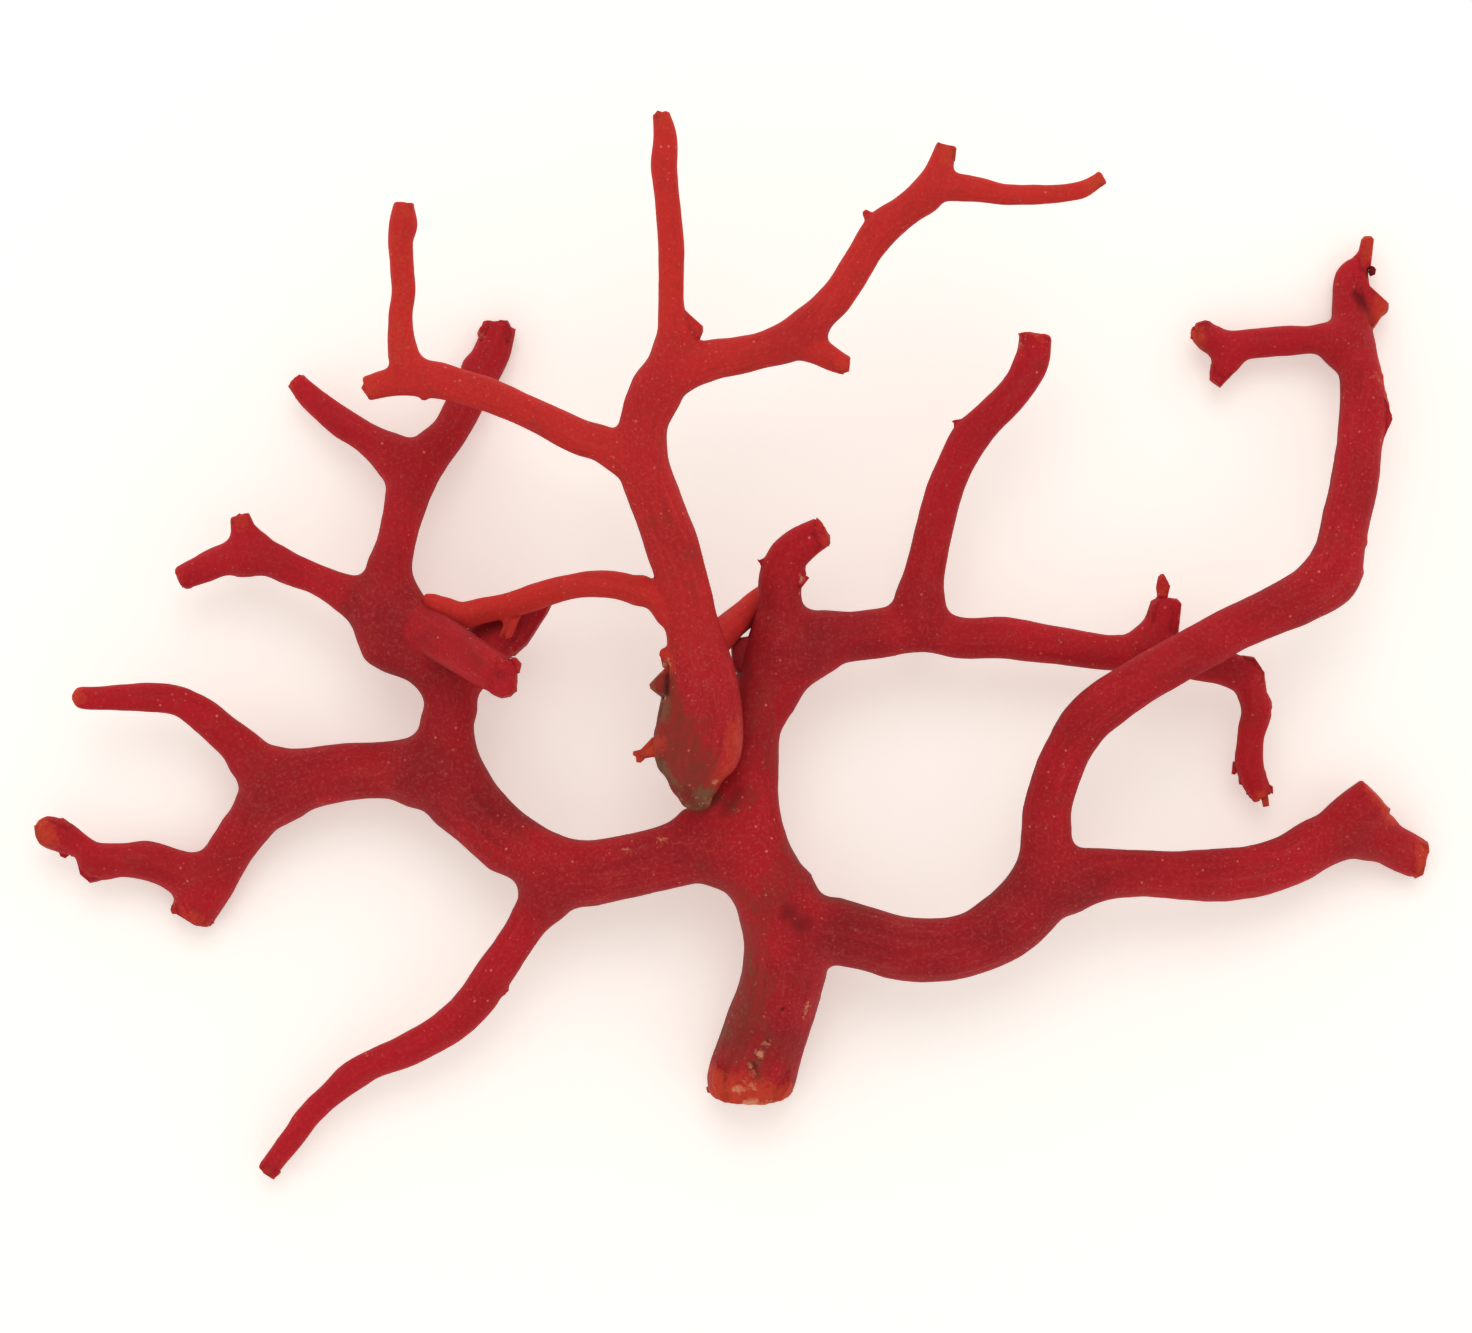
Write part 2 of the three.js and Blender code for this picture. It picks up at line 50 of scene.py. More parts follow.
lens = bpy.data.cameras.new("copy_stand")
lens.sensor_width = SENSOR_WIDTH
lens.lens = SENSOR_WIDTH * EYE_HEIGHT / PAPER_IN_VIEW
lens.clip_start = 0.01
camera = bpy.data.objects.new("copy_stand", lens)
camera.location = (EYE_X, EYE_Y, EYE_HEIGHT)
bpy.context.scene.collection.objects.link(camera)
bpy.context.scene.camera = camera
bpy.context.scene.view_settings.view_transform = "Standard"


# The paper and the light: a smooth white sheet on a light table that glows faintly through it, in a
# white room, with a soft box that hangs over the fan's far side.
PAPER_SIZE = 2.4
PAPER_WHITE = (252, 251, 250)
PAPER_GLOW = 0.33
GLOW_WHITE = (255, 243, 230)
WALL_WHITE = (253, 251, 247)
WALL_LIGHT = 0.7
SOFT_BOX_WHITE = (255, 250, 244)
SOFT_BOX_LIGHT = 4.4
SOFT_BOX_SIZE = 1
SOFT_BOX_HEIGHT = 1.3
SOFT_BOX_BACK = 0.8


def linear(red, green, blue):
    """A colour as seen on screen, 0 to 255, as the light it stands for."""
    seen = [value / 255 for value in (red, green, blue)]
    return tuple(v / 12.92 if v <= 0.04045 else ((v + 0.055) / 1.055) ** 2.4 for v in seen) + (1,)


class Amount:
    """A number that varies over a surface. Arithmetic on it adds the material's Math nodes."""

    def __init__(self, finish, socket):
        self.finish = finish
        self.socket = socket

    def math(self, operation, *values, clamp=False):
        settings = {"operation": operation, "use_clamp": clamp}
        return self.finish.node("ShaderNodeMath", settings, dict(enumerate(values)))

    def __add__(self, other):
        return self.math("ADD", self, other)

    def __sub__(self, other):
        return self.math("SUBTRACT", self, other)

    def __rsub__(self, other):
        return self.math("SUBTRACT", other, self)

    def __mul__(self, other):
        return self.math("MULTIPLY", self, other)

    __radd__ = __add__
    __rmul__ = __mul__

    def between(self, low, high):
        """0 below low, 1 above high, and a straight rise from one to the other."""
        settings = {"clamp": True}
        places = {"From Min": low, "From Max": high}
        return self.finish.node("ShaderNodeMapRange", settings, {"Value": self, **places})


class Finish:
    """A material in the making."""

    def __init__(self, name):
        self.material = bpy.data.materials.new(name)
        self.material.use_nodes = True
        self.tree = self.material.node_tree
        self.tree.nodes.clear()

    def node(self, kind, settings=None, values=None, out=0):
        made = self.tree.nodes.new(kind)
        for key, value in (settings or {}).items():
            setattr(made, key, value)
        for key, value in (values or {}).items():
            if isinstance(value, Amount):
                self.tree.links.new(value.socket, made.inputs[key])
            else:
                made.inputs[key].default_value = value
        return Amount(self, made.outputs[out])

    def mix(self, share, first, second):
        """From the first colour to the second, by the share."""
        values = {0: share, 6: first, 7: second}
        return self.node("ShaderNodeMix", {"data_type": "RGBA"}, values, out=2)

    def skin(self, **values):
        """The surface itself: values go to the sockets of the same names."""
        sockets = {key.replace("_", " ").title().replace("Ior", "IOR"): v for key, v in values.items()}
        shader = self.node("ShaderNodeBsdfPrincipled", None, sockets)
        surface = self.tree.nodes.new("ShaderNodeOutputMaterial")
        self.tree.links.new(shader.socket, surface.inputs["Surface"])


sheet = bmesh.new()
bmesh.ops.create_grid(sheet, x_segments=1, y_segments=1, size=PAPER_SIZE / 2)
paper_mesh = bpy.data.meshes.new("paper")
sheet.to_mesh(paper_mesh)
sheet.free()
paper = bpy.data.objects.new("paper", paper_mesh)
bpy.context.scene.collection.objects.link(paper)
paper_finish = Finish("white_paper")
paper_finish.skin(
    base_color=linear(*PAPER_WHITE), roughness=0.9, specular_ior_level=0.1,
    emission_color=linear(*GLOW_WHITE), emission_strength=PAPER_GLOW,
)
paper_mesh.materials.append(paper_finish.material)

walls = bpy.data.worlds.new("white_walls")
walls.use_nodes = True
walls.node_tree.nodes["Background"].inputs["Color"].default_value = linear(*WALL_WHITE)
walls.node_tree.nodes["Background"].inputs["Strength"].default_value = WALL_LIGHT
bpy.context.scene.world = walls

soft_box = bpy.data.lights.new("soft_box", "AREA")
soft_box.shape = "DISK"
soft_box.size = SOFT_BOX_SIZE
soft_box.energy = SOFT_BOX_LIGHT
soft_box.color = linear(*SOFT_BOX_WHITE)[:3]
soft_box_object = bpy.data.objects.new("soft_box", soft_box)
soft_box_object.location = (0, SOFT_BOX_BACK, SOFT_BOX_HEIGHT)
bpy.context.scene.collection.objects.link(soft_box_object)


# The dark growth: one stony skeleton of crimson coral, sawn off at the foot of its trunk, with its
# polyps' crust gone. Each limb is a course of [x, y, z, radius] in millimetres, from inside the limb
# that carries it out to its tip, and all of them are grown together into one skin.
DARK_COURSES = {
    "trunk": [
        [2.3, -59.8, 5.5, 5.8], [2.4, -57.9, 5.9, 6.1], [3.4, -54.6, 6.6, 6.0], [4.6, -50.6, 8, 5.8],
        [6.5, -44.5, 10.7, 5.7], [7.3, -38.2, 13, 6], [6.5, -32.6, 14.5, 6.3],
    ],
    "middle": [
        [6.2, -33.1, 14.5, 5.2], [3.8, -26.9, 15, 4.4], [2.5, -20.7, 15, 3.9], [2.4, -14.3, 15, 3.8],
        [2.9, -7.5, 15, 3.9], [4.7, -0.7, 15, 3.9], [6.5, 4.3, 15.5, 3.9], [6.9, 7.6, 16, 3.4],
        [6.4, 10.8, 17, 3.1], [7.2, 13.6, 18, 2.8], [9.1, 15.6, 19.5, 2.5], [12, 17.3, 21, 2.1],
    ],
    "hub_web": [
        [-8.4, -25.3, 14, 2.7], [-4.5, -22.9, 14.5, 3.1], [-1.3, -19.6, 15, 3.1], [1.2, -15.8, 15, 2.8],
    ],
    "middle_web": [
        [3.2, -9.5, 15, 2.9], [6.2, -4.5, 15, 3.1], [9.9, -0.2, 14.6, 3.7], [12.8, 1.6, 14.3, 3.2],
    ],
    "middle_right": [
        [5.2, -1.1, 15, 4.1], [9, 1.1, 14.8, 4.7], [12, 2.6, 14.3, 4.2], [15.6, 3.1, 14, 3.5],
        [20.5, 3.7, 13.5, 3.4], [26, 4.1, 13, 3.1], [31.2, 3, 12.3, 2.9], [36.7, 3, 12, 2.9],
        [43.8, 2, 11, 2.7], [50.2, 1.1, 10, 2.5], [57.1, 0.4, 9.5, 2.5], [63.3, -0.4, 9.2, 2.4],
        [67.6, -1.2, 8.9, 2.4], [71, -3, 8.3, 2.5], [71.7, -6.9, 7.5, 2.3], [71.3, -10.8, 6.5, 1.9],
        [71.2, -14.6, 5.5, 2.1], [72.9, -18.9, 4.6, 1.5],
    ],
    "middle_right_stub": [[56.5, 1.1, 9.8, 3.4], [58.4, 4.4, 10, 2.5], [59.2, 7.8, 10.4, 2.1]],
    "middle_upper": [
        [25.2, 4.1, 13, 4.2], [25.4, 7.9, 13.3, 3.7], [26, 11.7, 13.5, 2.8], [27.2, 17, 14, 2.6],
        [28.5, 22.2, 14.3, 2.6], [30.1, 26.5, 14.7, 2.5], [32.3, 30.3, 15, 2.6],
        [35.2, 33.4, 15.3, 2.3], [38.2, 36.5, 15.6, 2.3], [40.4, 40.3, 16, 2.4], [41, 44.2, 16.2, 2.2],
    ],
    "left": [
        [6.3, -32.4, 14.5, 5.8], [2.5, -27.5, 14.3, 5.6], [-3.9, -25.7, 14, 4.9], [-9.7, -27, 13.6, 4.4],
        [-16, -28.5, 13, 4.4], [-21.6, -29.1, 12.6, 4.7], [-26.7, -27.6, 12.2, 4.8],
        [-31.1, -24.6, 11.8, 4.5], [-34.5, -21.6, 11.4, 4.6], [-37.8, -17.9, 11, 5.2],
        [-39.3, -13.7, 10.8, 4.8], [-39.2, -8.9, 11, 3.8], [-38.6, -5.8, 11.3, 3.6],
        [-39.8, -2.5, 11.8, 3.7], [-42.8, 0.5, 12.3, 4.9], [-45.1, 4.1, 12.8, 5.7],
        [-46.3, 7.9, 13, 4.2], [-47, 11.6, 12.6, 3.4], [-46, 16.4, 11.5, 2.7], [-44.9, 21.2, 10, 3],
        [-43.9, 25, 8.8, 3.4], [-42.3, 27.8, 8, 3.2], [-39.3, 31.1, 6.6, 2.6], [-37.4, 34.8, 5, 2.6],
        [-35.5, 38.8, 3.8, 2.6], [-33.5, 42.7, 2.7, 2.6], [-32.4, 46.5, 2.2, 2.4],
    ],
    "left_lower": [
        [-24.8, -28.4, 12.2, 5], [-25.6, -32, 11.8, 4.1], [-27.8, -35.3, 11.3, 2.8],
        [-30.3, -39.3, 10.6, 2.6], [-33.2, -43.5, 9.8, 2.7], [-35.7, -47.1, 9, 2.7],
        [-38.8, -50, 8.4, 2.6], [-42.4, -52.4, 7.7, 2.4], [-46.2, -54.3, 7, 2.3],
        [-49.8, -55.8, 6.4, 2.1], [-53.2, -57.9, 5.8, 2.1], [-55.7, -60.1, 5.3, 1.8],
        [-58.4, -62.6, 4.9, 1.8], [-60.8, -65.8, 4.4, 1.7], [-64.7, -70.9, 3.8, 1.4],
    ],
    "left_outer": [
        [-39.3, -14.5, 10.8, 5], [-42.9, -15.3, 10.4, 5.3], [-47.3, -15.1, 9.8, 4],
        [-53.3, -15.4, 9, 4], [-57.9, -16.2, 8.4, 4.3], [-61.5, -17.3, 7.9, 4.9],
        [-64.9, -19.8, 7.2, 4.4], [-67.1, -23, 6.2, 3.4], [-69.8, -26.7, 5, 3.2],
        [-72.5, -31, 3.8, 3.5], [-75.3, -35.5, 2.8, 3.1],
    ],
    "left_outer_upper": [
        [-61.7, -16.2, 7.9, 4.1], [-65.4, -14.6, 7.9, 3.6], [-67.8, -12, 8.2, 2.9],
        [-70.5, -9.6, 8.8, 2.5], [-73.3, -7.1, 9.5, 2.3], [-76.3, -5.5, 10.3, 2.1],
        [-80.3, -5.1, 11, 2.1], [-84.9, -5.1, 11.8, 1.8], [-88.1, -5.2, 12.2, 1.6],
        [-89.4, -5.1, 12.4, 1.5], [-90.2, -5.1, 12.4, 0.7],
    ],
    "left_outer_lower": [
        [-73, -30.2, 3.9, 3.8], [-74.9, -30.2, 4.2, 3.6], [-77.7, -28.9, 4.8, 2.9],
        [-80.9, -27.8, 5.2, 2.8], [-84.4, -27.6, 5.5, 2.4], [-87.7, -27.7, 5.8, 2.7],
        [-90.1, -25.8, 6.2, 2], [-92.2, -24.5, 6.6, 2.3], [-94.7, -23.5, 7, 2.1], [-96, -23.1, 7.1, 1],
    ],
    "upper_left_side": [
        [-44.1, 25.5, 8.5, 3.6], [-46.5, 27.9, 8, 3.3], [-50, 30.3, 7.2, 2.3], [-53.6, 32.5, 6.3, 2.2],
        [-56.4, 34.6, 5.6, 1.9], [-58.6, 36.5, 5, 1.7], [-60.6, 38.7, 4.5, 1.4],
    ],
    "far_left": [
        [-44.8, 4.3, 13, 5.2], [-48.4, 6.7, 13, 4.9], [-51.3, 8.4, 12.8, 3.1], [-53.9, 9.5, 12.6, 2.5],
        [-57, 11, 12, 2.1], [-60.2, 12.3, 11.4, 2.3], [-63.7, 13.9, 10.8, 2.6],
        [-66.6, 14.2, 10.3, 3], [-69.7, 13.8, 10, 2.3], [-72.6, 12.6, 9.6, 2.1], [-75.9, 11.1, 9.2, 1.6],
    ],
    "far_left_spur": [[-66.2, 14.2, 10.3, 2.8], [-67, 17.1, 10.5, 2], [-67.6, 19.8, 10.8, 1.4]],
    "forward_stub": [
        [-45.2, 6, 13, 4], [-42.5, 4.3, 15.5, 3.3], [-39.9, 3.1, 18.5, 3.1], [-36.4, 1, 22, 3],
        [-33, -1, 25.4, 2.8], [-31, -2.1, 26.7, 2.6], [-30.2, -2.5, 26.8, 2.3],
    ],
    "lower_stub": [
        [-40.4, -4.4, 11.5, 3.6], [-37, -1.5, 11, 3.7], [-34, 1.6, 11, 3.6], [-30.8, 4.9, 11.2, 3.4],
        [-28.8, 6, 11.4, 2.2],
    ],
    "right": [
        [5.7, -33.3, 14.5, 6], [9.6, -36.1, 14.3, 5.4], [14.2, -37, 14, 4.6], [18.6, -38.1, 13.7, 4.4],
        [23.4, -39.4, 13.4, 4.4], [28.4, -39.5, 13.2, 4.4], [32.9, -38.4, 13.2, 4.4],
        [37.1, -36.1, 13.4, 4.7], [40.6, -32.7, 13.8, 4.8], [42.4, -28.3, 14.2, 4.1],
        [42.5, -24.2, 14.7, 3.5], [42.7, -20.1, 15.4, 3.3], [43.7, -15.9, 16.4, 3.3],
        [45.3, -12.2, 17.3, 3.2], [47.5, -8.5, 18.3, 3.4], [50.7, -5.6, 19.2, 3.4],
        [54.1, -3.3, 19.8, 3.2], [58.1, -1, 20, 3.2], [62.2, 1.3, 20, 3.2], [66.9, 3.9, 19.6, 3.2],
        [72.1, 6.3, 19, 3.3], [76.9, 8.5, 18.2, 3.6], [81.1, 11.2, 17.2, 3.7], [82.3, 15.2, 16, 3.4],
        [83.4, 19.8, 14.6, 3.3], [84.7, 24.5, 13, 3.3], [85.5, 29.2, 11.2, 3.2], [86.5, 34, 9.4, 3.4],
        [86.3, 38.8, 7.6, 3.1], [85.8, 42.8, 5.6, 3], [85.6, 46.4, 3.8, 2.8], [85.8, 49.9, 2.6, 2.8],
        [85.8, 53, 2.3, 2.5], [86.6, 55.2, 2.6, 1.5],
    ],
    "right_tip_spike": [
        [86, 52, 2.8, 2.1], [87, 55.2, 3.2, 1.3], [87.3, 56.5, 3.4, 1], [87.9, 58.4, 3.6, 0.7],
    ],
    "right_tip_thorn": [[86.5, 49.1, 3.2, 2.5], [88.7, 48.8, 3.4, 1.9], [90.6, 49.2, 3.6, 0.6]],
    "right_side": [
        [86.2, 43.3, 5.4, 3.8], [83.2, 44.1, 5.2, 2.9], [79.7, 44.3, 5, 2.3], [75.5, 44.1, 4.8, 2.1],
        [71.4, 43.7, 4.6, 2.1], [68.1, 43.5, 4.6, 2.2], [65.5, 44.7, 4.6, 2.1], [64.3, 46.2, 4.6, 1.5],
    ],
    "right_side_spur": [[70, 43.4, 4.7, 1.8], [68.1, 41.2, 4.5, 2], [66.6, 38.6, 4.2, 1]],
    "right_outer": [
        [40.9, -30.8, 14, 4.7], [44.7, -30.1, 13.8, 4.9], [49.7, -29.3, 13.4, 3.7],
        [55.5, -29.1, 12.6, 3.3], [61, -29.4, 11.8, 3.4], [66.6, -29.4, 10.8, 3.6],
        [71.6, -28.9, 9.6, 3.6], [76.5, -27.4, 8.2, 3.6], [81, -25.1, 7, 3.7], [85.3, -23.9, 5.8, 3.6],
        [90.5, -25.5, 4.2, 3.2], [95.1, -27.6, 2.7, 2.8],
    ],
    "right_outer_stub": [[82.5, -25.1, 6.6, 3.9], [85.3, -21.6, 7.2, 3.6], [88.4, -18.6, 7.8, 3]],
}
# Thorns and the stumps of lost twigs, each from its root to its point.
DARK_THORNS = [
    [[4.9, 12.6, 18, 0.8], [3.2, 13.5, 18.2, 0.3]],
    [[8.3, 11.2, 17.6, 0.9], [10.1, 11.6, 17.6, 0.3]],
    [[3.3, -1.1, 15.1, 1.3], [0.2, 1.2, 15.5, 0.5]],
    [[31.8, 31.2, 15, 1], [29.9, 32.7, 15, 0.4]],
    [[58.9, 7.2, 10.4, 1], [58.5, 11.8, 10.6, 0.4]],
    [[-31.5, -44, 9.8, 0.7], [-30.9, -46, 9.8, 0.3]],
    [[-75.3, -33, 3.4, 1.6], [-78, -34.8, 3.2, 0.6]],
    [[-73.3, -34, 3.2, 1.5], [-72.5, -36.6, 3, 0.6]],
    [[-67, 12.9, 10.3, 0.7], [-67.6, 11, 10.2, 0.3]],
    [[84, 15.5, 16, 0.8], [86.1, 16.1, 16, 0.3]],
    [[83.4, 11.4, 17, 1], [85.5, 11.8, 17, 0.3]],
    [[87.6, 33.8, 9.4, 2], [90.2, 32.9, 9.4, 0.7]],
]
# The size of the skin's faces, how round the rods are that it is drawn from, how finely a course
# is drawn between its points, and how many points of the skin are looked up at once.
DARK_GRAIN_SIZE = 0.54 * MM
ROUND_SIDES = 6
STEPS_BETWEEN_POINTS = 8
POINTS_AT_ONCE = 4000


def drawn(course):
    """A course as a smooth line of closely spaced rows [x, y, z, radius], in metres."""
    rows = np.array(course, float) * MM
    ends = [2 * rows[0] - rows[1]], [2 * rows[-1] - rows[-2]]
    rows = np.vstack([ends[0], rows, ends[1]])
    line = []
    for a, b, c, d in zip(rows, rows[1:], rows[2:], rows[3:]):
        for t in np.arange(STEPS_BETWEEN_POINTS) / STEPS_BETWEEN_POINTS:
            bend = (2 * a - 5 * b + 4 * c - d) * t * t + (3 * b - a - 3 * c + d) * t ** 3
            line.append(b + 0.5 * ((c - a) * t + bend))
    line.append(rows[-2])
    return np.array(line)


def as_built(thing):
    """The mesh of a curve or of a piece with its modifiers."""
    built = thing.evaluated_get(bpy.context.evaluated_depsgraph_get())
    return bpy.data.meshes.new_from_object(built)


def fused(name, lines, grain_size):
    """A growth's limbs, drawn as round rods and fused into one closed skin."""
    curve = bpy.data.curves.new(name, "CURVE")
    curve.dimensions = "3D"
    curve.bevel_depth = 1
    curve.bevel_resolution = ROUND_SIDES
    curve.use_fill_caps = True
    for line in lines:
        spline = curve.splines.new("POLY")
        spline.points.add(len(line) - 1)
        for point, (x, y, z, radius) in zip(spline.points, line):
            point.co = (x, y, z, 1)
            point.radius = radius
    limbs = bpy.data.objects.new(name + "_limbs", curve)
    bpy.context.scene.collection.objects.link(limbs)
    drawn_limbs = as_built(limbs)
    bpy.data.objects.remove(limbs)
    bpy.data.curves.remove(curve)
    piece = bpy.data.objects.new(name, drawn_limbs)
    bpy.context.scene.collection.objects.link(piece)
    remesh = piece.modifiers.new("one_skin", "REMESH")
    remesh.mode = "VOXEL"
    remesh.voxel_size = grain_size
    remesh.use_smooth_shade = True
    skin = as_built(piece)
    piece.modifiers.clear()
    piece.data = skin
    bpy.data.meshes.remove(drawn_limbs)
    return piece


def unit(vectors):
    """The vectors at length 1."""
    return vectors / np.linalg.norm(vectors, axis=-1, keepdims=True)


class Limbs:
    """The middle lines of a growth's limbs, to tell which limb a point of the skin belongs to."""

    def __init__(self, lines):
        self.rows = np.vstack(lines)
        self.limb = np.concatenate([[i] * len(line) for i, line in enumerate(lines)])
        self.along = []
        self.ahead = []
        self.side = []
        for line in lines:
            steps = np.linalg.norm(np.diff(line[:, :3], axis=0), axis=1)
            self.along.append(np.concatenate([[0], np.cumsum(steps)]))
            ahead = unit(np.gradient(line[:, :3], axis=0))
            side = np.cross(ahead[0], [0.0, 0.0, 1.0])
            sides = []
            for way in ahead:
                side = unit(side - way * side.dot(way))
                sides.append(side)
            self.ahead.append(ahead)
            self.side.append(np.array(sides))
        self.along = np.concatenate(self.along)
        self.ahead = np.vstack(self.ahead)
        self.side = np.vstack(self.side)
        self.up = np.cross(self.ahead, self.side)

    def nearest(self, points):
        """For each point, the nearest row, and how far the next limb's flesh is from it."""
        starts = np.flatnonzero(np.diff(self.limb, prepend=-1))
        square = (self.rows[:, :3] ** 2).sum(1)
        rows = []
        others = []
        for part in np.array_split(points, len(points) // POINTS_AT_ONCE + 1):
            apart = (part ** 2).sum(1)[:, None] - 2 * part @ self.rows[:, :3].T + square
            gap = np.sqrt(np.maximum(apart, 0)) - self.rows[:, 3]
            by_limb = np.partition(np.minimum.reduceat(gap, starts, axis=1), 1, axis=1)
            rows.append(gap.argmin(1))
            others.append(by_limb[:, 1] - by_limb[:, 0])
        return np.concatenate(rows), np.concatenate(others)


def rough(points, size, seed):
    """Uneven heights between about -1 and 1, with bumps of that size, others for each seed."""
    shift = Vector((seed * 17.3, seed * 5.1, seed * 11.7))
    return np.array([noise.noise(Vector(p) / size + shift) for p in points])


dark_lines = [drawn(course) for course in DARK_COURSES.values()]
dark_thorn_lines = [np.array(thorn) * MM for thorn in DARK_THORNS]
dark_growth = fused("dark_growth", dark_lines + dark_thorn_lines, DARK_GRAIN_SIZE)

# How far the fillets reach, how often the skin is drawn in there, and how much of each move it
# makes outwards and inwards.
FILLET = 2.2 * MM
FILLET_ROUNDS = 24
FILLET_OUTWARDS = 0.9
FILLET_INWARDS = 0.15


def mesh_points(piece):
    points = np.empty(len(piece.data.vertices) * 3)
    piece.data.vertices.foreach_get("co", points)
    return points.reshape(-1, 3)


def outward(piece):
    normals = np.empty(len(piece.data.vertices) * 3)
    piece.data.vertex_normals.foreach_get("vector", normals)
    return normals.reshape(-1, 3)


def move_points(piece, points):
    piece.data.vertices.foreach_set("co", points.ravel())
    piece.data.update()


def filleted(piece, limbs):
    """Fills the corners where limbs meet, as the coral does, and leaves the rest as it is."""
    points = mesh_points(piece)
    normals = outward(piece)
    _, other = limbs.nearest(points)
    share = np.clip(1 - other / FILLET, 0, 1)[:, None]
    ends = np.empty(len(piece.data.edges) * 2, int)
    piece.data.edges.foreach_get("vertices", ends)
    a, b = ends.reshape(-1, 2).T
    count = np.bincount(np.concatenate([a, b]), minlength=len(points))[:, None]
    for _ in range(FILLET_ROUNDS):
        total = np.zeros_like(points)
        for axis in range(3):
            total[:, axis] = np.bincount(a, points[b, axis], len(points))
            total[:, axis] += np.bincount(b, points[a, axis], len(points))
        move = total / count - points
        outwards = (move * normals).sum(1, keepdims=True) > 0
        points = points + move * share * np.where(outwards, FILLET_OUTWARDS, FILLET_INWARDS)
    move_points(piece, points)


dark_limbs = Limbs(dark_lines)
filleted(dark_growth, dark_limbs)


# Where a limb's outline is fuller or slimmer than its course says: the skin round x, y moves by the
# next two numbers, over the reach in the last one.
DARK_PULLS = [
    [10.4, -25.9, -0.6, -0.6, 4.5], [9.2, 8.4, -1, -0.4, 3], [10.8, -3.8, -0.5, 0.5, 4.5],
    [-44.8, -3.2, 0.6, 0.8, 3.5], [-30.7, -30.3, 0.4, 0.6, 3.5], [-68, -19.1, 0.8, -0.1, 4],
    [72.9, -3.8, -0.9, 0, 2.8], [69.2, -7, 0.4, 0, 2.5], [89.2, -27.9, 0, 0.4, 3],
    [12.6, -31.7, -0.3, -0.3, 2.5], [-49.8, 0.7, -0.7, -0.5, 4], [78.1, 13.5, -0.4, 0.5, 3.2],
    [-30.4, -4.9, 0.1, -0.4, 2], [53.6, 4.6, -0.1, 0.5, 3], [-36.7, 40.9, -0.4, 0.2, 2.2],
    [-53.8, 5.6, -0.2, -0.3, 2.5], [-27, 7, 0.4, -0.2, 2], [95.3, -29.5, 0.2, -0.4, 1.8],
    [85.4, 50.8, 0.4, 0, 2], [87, 42, -0.3, 0, 3], [73.4, -7.4, 0.15, 0, 2.5],
    [90.2, -22.2, 0.5, 0.6, 2.6], [82.7, 41.2, -0.5, -0.5, 2.5], [-64.3, 17.4, 0.3, 0.5, 2.2],
    [-1.6, -47, -0.2, 0, 4], [39.4, 40, -0.3, 0.2, 2.5], [-60, 38.1, -0.2, 0.2, 1.8],
    [-91.2, -28, 0.2, 0.5, 1.8], [79.5, 47, 0, -0.3, 3], [80, 41.4, 0, 0.3, 3],
    [-7.1, -21.2, 0.1, 0.7, 2.4],
]
